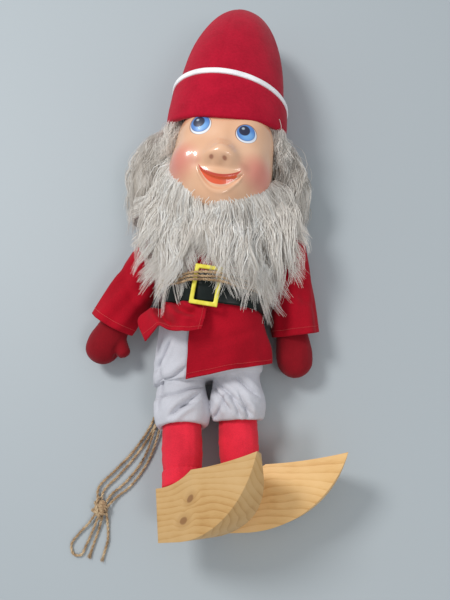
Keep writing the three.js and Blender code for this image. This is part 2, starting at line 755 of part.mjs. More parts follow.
function addSkirt() {
  const top = BELT_LOW - SEAT_GAP;
  const places = [top, ...placesFrom(0, top).reverse(), SKIRT_HEM_AT];
  const rows = places.length - 1;
  const alongAt = (v) => {
    const row = Math.min(Math.floor(v * rows + 1e-6), rows - 1);
    return lerp(places[row], places[row + 1], v * rows - row);
  };

  const frontAngle = (u) => lerp(FRONT_LEFT_FROM, FRONT_LEFT_TO, u);
  const frontLift = (v) => 2.5 * smoothstep(v, 0.1, 0.7);
  addPiece(
    doll,
    "coat_front_left",
    sheetSolid(
      (u, v) => skirtPoint(alongAt(v), frontAngle(u), COAT_OUT + frontLift(v), 0),
      (u, v) => skirtPoint(alongAt(v), frontAngle(u), SEAT_GAP + frontLift(v), 0),
      12,
      rows,
    ),
    coatRed,
  );

  // The right front goes down to the fold, round it and back up over itself, and flares at its side
  const down = 0.5;
  const round = 0.75;
  const turnedPoint = (u, v, layer) => {
    const angle = lerp(FRONT_RIGHT_FROM, FRONT_RIGHT_TO, u);
    const flare = TURN_UP_FLARE * smoothstep(u, 0.55, 1) * smoothstep(v, 0.2, 0.9);
    const foot = TURN_UP_AT - 6 * smoothstep(u, 0.6, 1);
    let along = lerp(top, foot, Math.min(v / down, 1));
    let out = FRONT_RIGHT_BASE + layer + 2 * smoothstep(v, 0, down);
    if (v > down) {
      const bend = Math.PI * clamp((v - down) / (round - down), 0, 1);
      const reach = TURN_UP_RADIUS - layer;
      along = foot - reach * Math.sin(bend);
      out = FRONT_RIGHT_BASE + 2 + TURN_UP_RADIUS - reach * Math.cos(bend);
    }
    if (v > round) along = lerp(foot, TURN_UP_BACK_TO, (v - round) / (1 - round));
    return trunkPoint(along, angle, out + flare + SKIRT_FOLD_HEIGHT * Math.sin(9 * u + 5 * v) * v * v, 0);
  };
  addPiece(
    doll,
    "coat_front_right",
    sheetSolid(
      (u, v) => turnedPoint(u, v, COAT_CLOTH),
      (u, v) => turnedPoint(u, v, 0),
      10,
      12,
    ),
    coatRed,
  );

  const backAngle = (u) => lerp(BACK_FROM, BACK_TO, u);
  const backPoint = (u, v, layer) => {
    const along = alongAt(v);
    return skirtPoint(along, backAngle(u), LAYER_GAP + layer, COAT_CLOTH - layer + waistRise(along));
  };
  addPiece(
    doll,
    "coat_back",
    sheetSolid(
      (u, v) => backPoint(u, v, COAT_CLOTH),
      (u, v) => backPoint(u, v, 0),
      16,
      rows,
    ),
    coatRed,
  );
}

// Legs

const tangentRadius = (across, up) => (across * across + up * up) / (2 * up);

// Points of an arc about a centre, after its first
const arcAfter = (x, y, radius, fromX, fromY, toX, toY, count) =>
  steps(Math.atan2(fromY - y, fromX - x), Math.atan2(toY - y, toX - x), count)
    .slice(1)
    .map((a) => new THREE.Vector2(x + radius * Math.cos(a), y + radius * Math.sin(a)));

// A clog's side view: flat heel and round underside, hollowed top
function clogOutline() {
  const under = tangentRadius(CLOG_TOE - CLOG_SOLE_FLAT, CLOG_TOE_HEIGHT);
  const top = tangentRadius(CLOG_TOE - CLOG_MOUTH, CLOG_TOE_HEIGHT - CLOG_MOUTH_HEIGHT);
  const hollowFrom = CLOG_HEEL_FLAT - CLOG_HEEL;
  const hollow = tangentRadius(CLOG_MOUTH - hollowFrom, CLOG_MOUTH_HEIGHT - CLOG_HEEL_HEIGHT);
  return new THREE.Shape([
    new THREE.Vector2(-CLOG_HEEL, 0),
    new THREE.Vector2(CLOG_SOLE_FLAT, 0),
    ...arcAfter(CLOG_SOLE_FLAT, under, under, CLOG_SOLE_FLAT, 0, CLOG_TOE, CLOG_TOE_HEIGHT, 12),
    ...arcAfter(
      CLOG_MOUTH, CLOG_MOUTH_HEIGHT + top, top,
      CLOG_TOE, CLOG_TOE_HEIGHT, CLOG_MOUTH, CLOG_MOUTH_HEIGHT, 5,
    ),
    ...arcAfter(
      hollowFrom, CLOG_HEEL_HEIGHT + hollow, hollow,
      CLOG_MOUTH, CLOG_MOUTH_HEIGHT, hollowFrom, CLOG_HEEL_HEIGHT, 7,
    ),
    new THREE.Vector2(-CLOG_HEEL, CLOG_HEEL_HEIGHT),
  ]);
}

// What the saw takes off the far side of the toe: its top view, across from the near face
function toeOffcut() {
  const far = -CLOG_WIDTH / 2;
  const radius = tangentRadius(CLOG_TOE - CLOG_SIDE_STRAIGHT, CLOG_WIDTH);
  const outline = new THREE.Shape([
    new THREE.Vector2(CLOG_SIDE_STRAIGHT, far - 1),
    new THREE.Vector2(CLOG_TOE + 1, far - 1),
    new THREE.Vector2(CLOG_TOE + 1, CLOG_WIDTH / 2),
    ...arcAfter(
      CLOG_SIDE_STRAIGHT, far + radius, radius,
      CLOG_TOE + 0.01, CLOG_WIDTH / 2, CLOG_SIDE_STRAIGHT, far, 10,
    ),
  ]);
  return new THREE.ExtrudeGeometry(outline, { depth: 2 * CLOG_TOE_HEIGHT, bevelEnabled: false })
    .rotateX(Math.PI / 2)
    .translate(0, 1.5 * CLOG_TOE_HEIGHT, 0);
}

// The clog stands with its ankle point at the pivot of its group and its sides across Z
function clogGeometry(slide) {
  const plank = new THREE.ExtrudeGeometry(clogOutline(), {
    depth: CLOG_WIDTH - 2 * CLOG_EDGE,
    bevelThickness: CLOG_EDGE,
    bevelSize: CLOG_EDGE,
    bevelOffset: -CLOG_EDGE,
    bevelSegments: 1,
  }).translate(0, 0, CLOG_EDGE - CLOG_WIDTH / 2);
  return cut(plank, [toeOffcut()]).translate(slide, -CLOG_ANKLE_HEIGHT, 0);
}

// What cuts the foot: the clog, wider and with its top lifted by the clearance
function clogCutter(slide) {
  const spare = 10;
  return new THREE.ExtrudeGeometry(clogOutline(), {
    depth: CLOG_WIDTH + 2 * spare,
    bevelEnabled: false,
  }).translate(slide, SEAT_GAP - CLOG_ANKLE_HEIGHT, -CLOG_WIDTH / 2 - spare);
}

function addLeg(name) {
  const leg = legGroups[name];
  const clog = clogGroups[name];
  const { slide } = LEGS[name];
  const inLeg = leg.matrixWorld.clone().invert();
  const floor = moved(floorBlock(), inLeg);

  // Breeches: from the hip ball over a full thigh to the gathered hem, with a bore for the stocking
  const swell = degToRad(16);
  const from = HIP_BALL * Math.sin(swell);
  const drop = BREECHES_LENGTH - from;
  const rings = limbRings(ballStations(HIP_BALL, swell, 4), BREECHES_SIDES);
  for (const t of steps(0, 1, 5).slice(1)) {
    const full = smoothstep(t, 0, 0.55);
    const gather = smoothstep(t, 0.7, 1);
    const width = lerp(HIP_BALL * Math.cos(swell), BREECHES_HALF_WIDTH, full);
    const ring = ringAt(
      -from - drop * t,
      0,
      0,
      lerp(width, HEM_HALF_WIDTH, gather),
      lerp(width, HEM_DEPTH, gather),
      BREECHES_SIDES,
    );
    ring.forEach((p, s) => {
      const pleat = HEM_FOLD_HEIGHT * t * Math.cos(HEM_FOLDS * turn(s, BREECHES_SIDES));
      p.x *= 1 + pleat / HEM_HALF_WIDTH;
      p.z *= 1 + pleat / HEM_HALF_WIDTH;
    });
    rings.push(ring);
  }
  const boreTop = BREECHES_LENGTH - 24;
  const bore = new THREE.CylinderGeometry(
    STOCKING_RADIUS + 2 * SEAT_GAP, STOCKING_RADIUS + 2 * SEAT_GAP, 60, LIMB_SIDES,
  ).translate(0, -boreTop - 30, 0);
  addPiece(leg, "breeches_leg_" + name, cut(ringSolid(rings), [bore, floor]), cottonGrey);

  // Stocking: up in the bore, with a slight calf, down to the crease at the ankle
  const stockingTop = boreTop + SEAT_GAP;
  const crease = LEG_LENGTH - FOOT_LENGTH - SEAT_GAP;
  const stocking = steps(0, 1, 6).map((t) => {
    const past = lerp(stockingTop, crease, t);
    const shown = clamp((past - BREECHES_LENGTH) / (crease - BREECHES_LENGTH), 0, 1);
    const calf = CALF_SWELL * Math.sin(Math.PI * shown);
    const crimp = lerp(STOCKING_RADIUS, ANKLE_RADIUS, smoothstep(shown, 0.8, 1));
    return [past, crimp + calf];
  });
  addPiece(leg, "stocking_" + name, cut(ringSolid(limbRings(stocking, LIMB_SIDES)), [floor]), knitRed);

  // Foot: swells out of the crease and ends in the clog's hollow
  const foot = [
    [LEG_LENGTH - FOOT_LENGTH, ANKLE_RADIUS],
    [LEG_LENGTH - FOOT_LENGTH + 2, ANKLE_RADIUS + 0.7],
    [LEG_LENGTH - FOOT_LENGTH + 6, FOOT_RADIUS],
    [LEG_LENGTH + 4, FOOT_RADIUS],
  ];
  const seat = moved(clogCutter(slide), inLeg.clone().multiply(clog.matrixWorld));
  addPlaced(
    clog,
    "foot_" + name,
    moved(cut(ringSolid(limbRings(foot, LIMB_SIDES)), [seat, floor]), leg.matrixWorld),
    knitRed,
  );
  addPiece(clog, "clog_" + name, clogGeometry(slide), pine);
}

// Arms

const sleeveStations = (shrink, length) => {
  const ball = ballStations(SHOULDER_BALL - shrink, 0, 4);
  const tube = steps(0, 1, 3)
    .slice(1)
    .map((t) => [
      length * t,
      lerp(SHOULDER_BALL, CUFF_HALF_WIDTH, smoothstep(t, 0, 1)) - shrink,
      lerp(SHOULDER_BALL, CUFF_HALF_DEPTH, smoothstep(t, 0, 1)) - shrink,
    ]);
  return [...ball, ...tube];
};

// A sleeve's full outline, grown by a clearance, for cutting what lies on it
const sleeveCutter = (name) =>
  moved(
    ringSolid(limbRings(sleeveStations(-LAYER_GAP, SLEEVE_LENGTH + LAYER_GAP), LIMB_SIDES)),
    sleeveGroups[name].matrixWorld,
  );

function addArm(name) {
  const arm = armGroups[name];
  const sleeve = sleeveGroups[name];
  const { side, thumbSpread, thumbRoll } = ARMS[name];

  const outer = limbRings(sleeveStations(0, SLEEVE_LENGTH), LIMB_SIDES);
  const inner = limbRings(sleeveStations(COAT_CLOTH, SLEEVE_LENGTH), LIMB_SIDES).reverse();
  const sleeveFloor = moved(floorBlock(), sleeve.matrixWorld.clone().invert());
  addPiece(sleeve, "sleeve_" + name, cut(ringSolid([...outer, ...inner]), [sleeveFloor]), coatRed);

  // Arm and mitten in one stuffed piece, with the thumb on the inner side
  const innerBall = SHOULDER_BALL - COAT_CLOTH - 2 * LAYER_GAP;
  const wristAt = ARM_LENGTH - MITTEN_LENGTH;
  const tip = MITTEN_HALF_WIDTH;
  const stations = [
    ...ballStations(innerBall, 0, 3),
    [innerBall * 0.7, innerBall * 0.9],
    [innerBall * 1.5, ELBOW_RADIUS],
    [wristAt, WRIST_RADIUS],
    [SLEEVE_LENGTH + 3, lerp(WRIST_RADIUS, MITTEN_HALF_WIDTH, 0.45), lerp(WRIST_RADIUS, MITTEN_HALF_DEPTH, 0.6)],
    [wristAt + 32, MITTEN_HALF_WIDTH, MITTEN_HALF_DEPTH],
  ];
  for (const a of steps(0, degToRad(80), 4))
    stations.push([
      ARM_LENGTH - tip + tip * Math.sin(a),
      MITTEN_HALF_WIDTH * Math.cos(a),
      MITTEN_HALF_DEPTH * Math.cos(a),
    ]);
  const mitten = ringSolid(limbRings(stations, LIMB_SIDES));
  const thumb = new THREE.CapsuleGeometry(THUMB_RADIUS, THUMB_LENGTH, 3, 10);
  thumb.translate(0, -THUMB_LENGTH / 2, 0).rotateZ(-side * thumbSpread);
  thumb.translate(-side * THUMB_ASIDE, -THUMB_AT, 0).rotateY(-side * thumbRoll);
  const floor = moved(floorBlock(), arm.matrixWorld.clone().invert());
  addPiece(arm, "arm_" + name, cut(joined([mitten, thumb]), [floor]), knitRed);
}

// Head

const bump = (x, y, { across, up, wide, high, height }) =>
  height * Math.exp(-(((x - across) / wide) ** 2 + ((y - up) / high) ** 2) / 2);
const pair = (x, y, shape) => bump(Math.abs(x), y, shape);

// The open smile: a crescent between two arcs, pressed into the face
function mouthPress(x, y) {
  const across = x / MOUTH_HALF_WIDTH;
  const lip = MOUTH_UP + MOUTH_CURVE * (across * across - 0.35);
  const open = MOUTH_OPEN * Math.max(1 - across * across, 0);
  const inside = smoothstep(y, lip - open - 1.6, lip - open + 0.6) * (1 - smoothstep(y, lip - 0.6, lip + 1.6));
  return MOUTH_DEPTH * inside * smoothstep(1 - Math.abs(across), 0, 0.12);
}

const faceRelief = (x, y) =>
  pair(x, y, CHEEK) +
  bump(x, y, NOSE) +
  pair(x, y, NOSTRIL) +
  bump(x, y, MUZZLE) +
  bump(x, y, CHIN) +
  bump(x, y, BROW) +
  pair(x, y, EYE) +
  pair(x, y, EYE_SOCKET) -
  mouthPress(x, y);

// Distance of the smooth head from its centre, in a direction
function headRadius(direction) {
  const depth = direction.z > 0 ? FACE_DEPTH : HEAD_BACK_DEPTH;
  const length = direction.y > 0 ? FOREHEAD_HALF_LENGTH : FACE_HALF_LENGTH;
  const sum =
    Math.abs(direction.x / FACE_HALF_WIDTH) ** HEAD_ROUNDNESS +
    Math.abs(direction.y / length) ** HEAD_ROUNDNESS +
    Math.abs(direction.z / depth) ** HEAD_ROUNDNESS;
  return sum ** (-1 / HEAD_ROUNDNESS);
}

// The direction at an angle from +Z and an angle round it
const headDirection = (away, round) =>
  new THREE.Vector3(Math.sin(away) * Math.cos(round), Math.sin(away) * Math.sin(round), Math.cos(away));

function reliefAt(direction, radius) {
  if (direction.z <= 0) return 0;
  const fade = 1 - smoothstep(Math.acos(direction.z), degToRad(58), MASK_REACH);
  return fade * faceRelief(direction.x * radius, direction.y * radius);
}

const reliefRing = (away, sides, radiusOf) =>
  Array.from({ length: sides }, (_, s) => {
    const direction = headDirection(away, turn(s, sides));
    return direction.clone().multiplyScalar(radiusOf(direction));
  });

const maskRadius = (direction) => {
  const radius = headRadius(direction);
  return radius + reliefAt(direction, radius);
};
const coreRadius = (direction) => {
  const radius = headRadius(direction);
  return radius + Math.min(0, reliefAt(direction, radius)) - MASK_WALL - CORE_CLEARANCE;
};
const maskInner = (direction) => {
  const radius = headRadius(direction);
  return radius + Math.min(0, reliefAt(direction, radius)) - MASK_WALL;
};

// The head with its face, grown by a clearance, for cutting hat, hair and beard
const headCutter = (gap) =>
  moved(
    ringSolid(
      steps(degToRad(0.5), degToRad(179.5), 14).map((away) =>
        reliefRing(away, 24, (d) => Math.max(maskRadius(d), headRadius(d)) + gap),
      ),
    ),
    head.matrixWorld,
  );

function addHead() {
  const sides = 32;
  const outer = steps(degToRad(0.6), MASK_REACH, 16).map((away) => reliefRing(away, sides, maskRadius));
  const inner = steps(MASK_REACH, degToRad(0.6), 6).map((away) => reliefRing(away, sides, maskInner));
  addPiece(head, "face_mask", ringSolid([...outer, ...inner]), facePlastic);

  // The stuffed head, flat where it meets the neck and hollowed for the neck's ball
  const core = ringSolid(
    steps(degToRad(2), degToRad(178), 10).map((away) => reliefRing(away, 24, coreRadius)),
  );
  const inHead = head.matrixWorld.clone().invert();
  const below = new THREE.BoxGeometry(400, 200, 400).translate(0, NECK_AT - 100, NECK_HEIGHT);
  const socket = new THREE.SphereGeometry(NECK_RADIUS + LAYER_GAP, 20, 12).translate(
    0, NECK_AT, NECK_HEIGHT,
  );
  addPiece(head, "head_core", cut(core, [moved(below, inHead), moved(socket, inHead)]), calico);

  const neck = [];
  for (const y of [TRUNK_LENGTH + SEAT_GAP, NECK_AT])
    neck.push(ringAt(y, 0, NECK_HEIGHT, NECK_RADIUS, NECK_RADIUS, 16));
  for (const a of steps(0, degToRad(86), 4).slice(1)) {
    const radius = NECK_RADIUS * Math.cos(a);
    neck.push(ringAt(NECK_AT + NECK_RADIUS * Math.sin(a), 0, NECK_HEIGHT, radius, radius, 16));
  }
  addPiece(doll, "neck", ringSolid(neck), calico);
}

// Hat

const CROWN = [
  [0, CROWN_RADIUS],
  [0.27, lerp(CROWN_RADIUS, CROWN_MIDDLE_RADIUS, 0.4)],
  [0.52, CROWN_MIDDLE_RADIUS],
  [0.75, CROWN_UPPER_RADIUS],
  [0.88, CROWN_UPPER_RADIUS * 0.74],
];
const crownEnd = CROWN[CROWN.length - 1];

// The crown's radius at a share of its length: a tapering cone that ends in a round dome
function crownRadius(t) {
  if (t <= crownEnd[0]) return stationValue(CROWN, t, 1);
  return crownEnd[1] * Math.sqrt(Math.max(1 - ((t - crownEnd[0]) / (1 - crownEnd[0])) ** 2, 0));
}
const crownHeight = (t) => lerp(BRIM_HEIGHT, CROWN_TIP_HEIGHT, t * t);

function crownPoint(along, angle, out) {
  const t = clamp((along - BRIM_AT) / CROWN_LENGTH, 0, 1);
  const radius = crownRadius(t);
  return new THREE.Vector3(
    CROWN_ASIDE * t + (radius + out) * Math.cos(angle),
    along,
    crownHeight(t) + (CROWN_FLATNESS * radius + out) * Math.sin(angle),
  );
}

// Where a tilted plane across the hat meets its skin: the brim's or the stripe's
function hatEdge(at, lean, dip, angle, out) {
  const flat = crownPoint(at, angle, out);
  const along = at + flat.x * Math.tan(lean) - (flat.z - BRIM_HEIGHT) * Math.tan(dip);
  return crownPoint(along, angle, out);
}
const brimPoint = (angle, out) => hatEdge(BRIM_AT, BRIM_LEAN, BRIM_DIP, angle, out);
const stripePoint = (angle, out) => hatEdge(STRIPE_AT, STRIPE_LEAN, STRIPE_DIP, angle, out);

function addHat() {
  const ringOf = (point) => Array.from({ length: HAT_SIDES }, (_, s) => point(turn(s, HAT_SIDES)));
  const inset = 0.06;
  const rings = [ringOf((a) => brimPoint(a, 0).lerp(stripePoint(a, 0), inset))];
  rings.push(ringOf((a) => brimPoint(a, 0).lerp(stripePoint(a, 0), 0.5)));
  rings.push(ringOf((a) => stripePoint(a, 0)));
  const from = 0.33;
  for (const t of steps(from, crownEnd[0], 4))
    rings.push(ringOf((a) => crownPoint(BRIM_AT + CROWN_LENGTH * t, a, 0)));
  for (const a of steps(0, degToRad(85), 4).slice(1)) {
    const t = crownEnd[0] + (1 - crownEnd[0]) * Math.sin(a);
    rings.push(ringOf((angle) => crownPoint(BRIM_AT + CROWN_LENGTH * t, angle, 0)));
  }
  const crown = cut(ringSolid(rings), [headCutter(HEAD_CLEARANCE)]);
  addPlaced(head, "hat_crown", crown, feltRed);

  // The cuff: felt turned up from the brim, thick and round at both edges
  const cuffRings = [];
  for (let s = 0; s < HAT_SIDES; s++) {
    const a = turn(s, HAT_SIDES);
    const across = (share, out) => {
      const p = brimPoint(a, out).lerp(stripePoint(a, out), share);
      return p.setZ(Math.max(p.z, 0));
    };
    cuffRings.push([
      across(0.02, SEAT_GAP),
      across(-0.03, SEAT_GAP + HAT_FELT * 0.45),
      across(0.02, SEAT_GAP + HAT_FELT),
      across(0.35, SEAT_GAP + HAT_FELT * 1.1),
      across(0.7, SEAT_GAP + HAT_FELT),
      across(0.97, SEAT_GAP + HAT_FELT * 0.9),
      across(0.99, SEAT_GAP + HAT_FELT * 0.5),
      across(0.97, SEAT_GAP),
      across(0.5, SEAT_GAP),
    ]);
  }
  const cuff = cut(ringSolid(cuffRings, true), [headCutter(HEAD_CLEARANCE), floorBlock()]);
  addPlaced(head, "hat_cuff", cuff, feltRed);

  // The white stripe: a flat braid round the cuff's upper edge
  const stripeRings = [];
  for (let s = 0; s < HAT_SIDES; s++) {
    const a = turn(s, HAT_SIDES);
    const at = (shift, out) => {
      const p = stripePoint(a, out);
      return new THREE.Vector3(p.x, p.y + shift, Math.max(p.z, 0.3));
    };
    stripeRings.push([
      at(0.6, SEAT_GAP),
      at(0.6, HAT_FELT + STRIPE_THICKNESS),
      at(STRIPE_WIDTH, HAT_FELT + STRIPE_THICKNESS),
      at(STRIPE_WIDTH, SEAT_GAP),
    ]);
  }
  addPlaced(head, "hat_stripe", ringSolid(stripeRings, true), white);
}

// Hair and beard

const brimCutter = () => {
  const rings = [];
  for (const share of [-0.06, 0.5, 1.1])
    rings.push(
      Array.from({ length: HAT_SIDES }, (_, s) => {
        const a = turn(s, HAT_SIDES);
        const out = HAT_FELT * 1.1 + SEAT_GAP + LAYER_GAP;
        return brimPoint(a, out).lerp(stripePoint(a, out), share);
      }),
    );
  return ringSolid(rings);
};

const coatCutter = () =>
  ringSolid(placesFrom(SEAT_LENGTH, TRUNK_LENGTH).map((along) => trunkRing(along, COAT_OUT + LAYER_GAP, 0)));

const neckCutter = () =>
  new THREE.CylinderGeometry(NECK_RADIUS + NECK_HAIR_GAP, NECK_RADIUS + NECK_HAIR_GAP, 44, 16).translate(
    0, TRUNK_LENGTH + 10, NECK_HEIGHT,
  );

function sideHair(stations, side) {
  const first = stations[0][0];
  const last = stations[stations.length - 1][0];
  const rings = steps(first, last, 8).map((along) => {
    const [inner, outer, low, high] = [1, 2, 3, 4].map((c) => stationValue(stations, along, c));
    const ring = ringAt(
      along, (side * (inner + outer)) / 2, (low + high) / 2,
      (outer - inner) / 2, (high - low) / 2, HAIR_SIDES, 2.3,
    );
    ring.forEach((p, s) => {
      const lock = 1 + 0.05 * Math.sin(5 * turn(s, HAIR_SIDES) + along * 0.09);
      p.x = (side * (inner + outer)) / 2 + (p.x - (side * (inner + outer)) / 2) * lock;
      p.z = Math.max(p.z, 1);
    });
    return ring;
  });
  return ringSolid(rings);
}

// How far the belt, the buckle and the twine stand off the coat under the beard
function overBelt(x, y) {
  const aside = smoothstep(Math.abs(x - BUCKLE_SHIFT), BUCKLE_WIDTH / 2 + 5, BUCKLE_WIDTH / 2 + 34);
  const raised = lerp(2 * BUCKLE_STAND_OFF + 3 * TWINE_EASE + SEAT_GAP, 0, aside);
  return (TWINE_OVER_BELT + 3 * TWINE_EASE + raised) * (1 - smoothstep(y, BELT_HIGH + 5, BELT_HIGH + 20));
}

// Height of the coat's chest and shoulders under the beard
function chestHeight(x, y) {
  const out = COAT_OUT + overBelt(x, y);
  const halfWidth = stationValue(TRUNK, y, 1) + out;
  const back = stationValue(TRUNK, y, 2);
  const front = stationValue(TRUNK, y, 3);
  const share = Math.min(Math.abs(x) / halfWidth, 1);
  const rise = (1 - share ** CLOTH_ROUNDNESS) ** (1 / CLOTH_ROUNDNESS);
  return Math.max((front + back) / 2 + ((front - back) / 2 + out) * rise, BEARD_SIDE_HEIGHT);
}

function beardSolid() {
  const from = BEARD_TOP[0][0];
  const to = BEARD_TOP[BEARD_TOP.length - 1][0];
  const place = (u, v) => {
    const x = lerp(from, to, u);
    return [x, lerp(stationValue(BEARD_TOP, x, 1), stationValue(BEARD_HEM, x, 1), v)];
  };
  const lower = (u, v) => {
    const [x, y] = place(u, v);
    return new THREE.Vector3(x, y, chestHeight(x, y) + LAYER_GAP);
  };
  const upper = (u, v) => {
    const [x, y] = place(u, v);
    const edge = Math.min(smoothstep(v, 0, 0.18), 1 - smoothstep(v, 0.55, 1));
    const sides = smoothstep(Math.min(u, 1 - u), 0, 0.12);
    const lock = 1 + 0.08 * Math.sin(0.32 * x + 2 * v);
    const thick = lerp(BEARD_EDGE, BEARD_THICKNESS * lock, edge * sides);
    const underChin = smoothstep(y, CHEST_AT + 30, NECK_AT) * Math.max(1 - (x / BEARD_CHIN_HALF_WIDTH) ** 2, 0);
    return new THREE.Vector3(x, y, chestHeight(x, y) + LAYER_GAP + thick + BEARD_CHIN_RISE * underChin);
  };
  return sheetSolid(upper, lower, 22, 8);
}

function addHair() {
  // Hair behind the head: a patch round the back of the stuffed head, flat on the table
  const backReach = steps(Math.PI - HAIR_BACK_REACH, degToRad(178), 4);
  const clip = (ring) => ring.map((p) => p.setZ(Math.max(p.z, 0.5 - HEAD_HEIGHT)));
  const outer = backReach.map((away) =>
    clip(reliefRing(away, HAIR_BACK_SIDES, (d) => coreRadius(d) + HAIR_BACK_CLEARANCE + HAIR_BACK_THICKNESS)),
  );
  const inner = backReach
    .slice()
    .reverse()
    .map((away) => reliefRing(away, HAIR_BACK_SIDES, (d) => coreRadius(d) + HAIR_BACK_CLEARANCE));
  const backHair = moved(ringSolid([...outer.reverse(), ...inner.reverse()]), head.matrixWorld);
  const around = [brimCutter(), coatCutter(), neckCutter()];
  addPlaced(head, "hair_back", cut(backHair, around), mohair);

  const rim = backReach[0] - 0.03;
  const grownBack = (d) => coreRadius(d) + HAIR_BACK_CLEARANCE + HAIR_BACK_THICKNESS + 1;
  const backBlock = moved(
    ringSolid(
      [
        reliefRing(rim, HAIR_BACK_SIDES, (d) => coreRadius(d) - 4),
        reliefRing(rim, HAIR_BACK_SIDES, grownBack),
        ...backReach.slice(1).map((away) => reliefRing(away, HAIR_BACK_SIDES, grownBack)),
      ],
    ),
    head.matrixWorld,
  );
  const sleeves = Object.keys(ARMS).map(sleeveCutter);
  const neighbours = [...around, headCutter(HEAD_CLEARANCE), backBlock, ...sleeves];
  const rightHair = cut(sideHair(HAIR_RIGHT, -1), neighbours);
  const leftHair = cut(sideHair(HAIR_LEFT, 1), neighbours);
  addPlaced(head, "hair_right", rightHair, mohair);
  addPlaced(head, "hair_left", leftHair, mohair);

  const hairBlocks = [sideHair(HAIR_RIGHT, -1), sideHair(HAIR_LEFT, 1)].map((geometry) => {
    const centre = new THREE.Box3().setFromBufferAttribute(geometry.getAttribute("position"));
    const middle = centre.getCenter(new THREE.Vector3());
    return geometry
      .translate(-middle.x, -middle.y, -middle.z)
      .scale(1.02, 1.012, 1.02)
      .translate(middle.x, middle.y, middle.z);
  });
  const beard = cut(beardSolid(), [headCutter(HEAD_CLEARANCE), coatCutter(), ...sleeves, ...hairBlocks]);
  addPlaced(head, "beard", beard, mohair);
}

// Free twine

function strand(points) {
  const curve = new THREE.CatmullRomCurve3(points.map((p) => new THREE.Vector3(...p)));
  const section = new THREE.Shape();
  for (let s = 0; s < 8; s++) {
    const x = STRAND_RADIUS * Math.cos(turn(s, 8));
    const y = STRAND_RADIUS * Math.sin(turn(s, 8));
    if (s === 0) section.moveTo(x, y);
    else section.lineTo(x, y);
  }
  section.closePath();
  const count = Math.round(curve.getLength() / (2.9 * TWINE_DIAMETER));
  return new THREE.ExtrudeGeometry(section, { steps: count, bevelEnabled: false, extrudePath: curve });
}

// The knot: twine wrapped round the strands, drawn in at its ends
function knotSolid(grow) {
  const [halfWidth, halfLength, halfHeight] = KNOT_SIZE;
  const rings = steps(-1, 1, 8).map((t) => {
    const round = Math.sqrt(1 - 0.75 * t * t) + 0.07 * Math.cos(9 * t);
    return ringAt(
      t * (halfLength + grow), 0, 0, halfWidth * round + grow, halfHeight * round + grow, 12,
    );
  });
  return ringSolid(rings)
    .rotateZ(degToRad(-14))
    .translate(KNOT_AT[0], KNOT_AT[1], halfHeight * 1.07 + 0.2);
}

function addTail() {
  const knot = knotSolid(0);
  const grown = knotSolid(SEAT_GAP);
  for (const [name, route] of Object.entries(STRAND_ROUTES))
    addPiece(doll, name, cut(strand(route), [grown]), jute);
  addPiece(doll, "tail_loop", cut(strand(LOOP_ROUTE), [grown]), jute);
  for (const [name, route] of Object.entries(END_ROUTES))
    addPiece(doll, name, cut(strand(route), [grown]), jute);
  addPiece(doll, "tail_knot", cut(knot, [floorBlock()]), jute);
}

addTrunk();
addBelt();
addBuckle();
addTwine();
addSkirt();
for (const name of Object.keys(LEGS)) addLeg(name);
for (const name of Object.keys(ARMS)) addArm(name);
addHead();
addHat();
addHair();
addTail();

// Centre the doll, without its free twine, over the origin with its back on the table
doll.updateMatrixWorld(true);
const box = new THREE.Box3();
doll.traverse((o) => {
  if (o.isMesh && !o.name.startsWith("tail_")) box.expandByObject(o, true);
});
const centre = box.getCenter(new THREE.Vector3());
doll.position.set(-centre.x, -centre.y, -box.min.z);
doll.updateMatrixWorld(true);

const part = new THREE.Group();
part.add(doll);

const inMetres = (v) => v.toArray().map((n) => Number((n / 1000).toFixed(5)));
const pivot = (x, y, z) => inMetres(new THREE.Vector3(x, y, z).add(doll.position));
console.log("box", inMetres(box.min.clone().add(doll.position)), inMetres(box.max.clone().add(doll.position)));
console.log("neck", pivot(0, NECK_AT, NECK_HEIGHT));
for (const name of Object.keys(LEGS)) {
  console.log("hip", name, inMetres(legGroups[name].getWorldPosition(new THREE.Vector3())));
  console.log("ankle", name, inMetres(clogGroups[name].getWorldPosition(new THREE.Vector3())));
  const axis = new THREE.Vector3(0, 1, 0).transformDirection(legGroups[name].matrixWorld);
  console.log("leg axis", name, axis.toArray().map((n) => Number(n.toFixed(5))));
}
for (const name of Object.keys(ARMS))
  console.log("shoulder", name, inMetres(armGroups[name].getWorldPosition(new THREE.Vector3())));

export default part;
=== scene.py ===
import random
from math import atan2, copysign, cos, exp, pi, radians, remainder, sin, sqrt, tan

import bmesh
import bpy
from mathutils import Matrix, Vector, noise
from mathutils.bvhtree import BVHTree


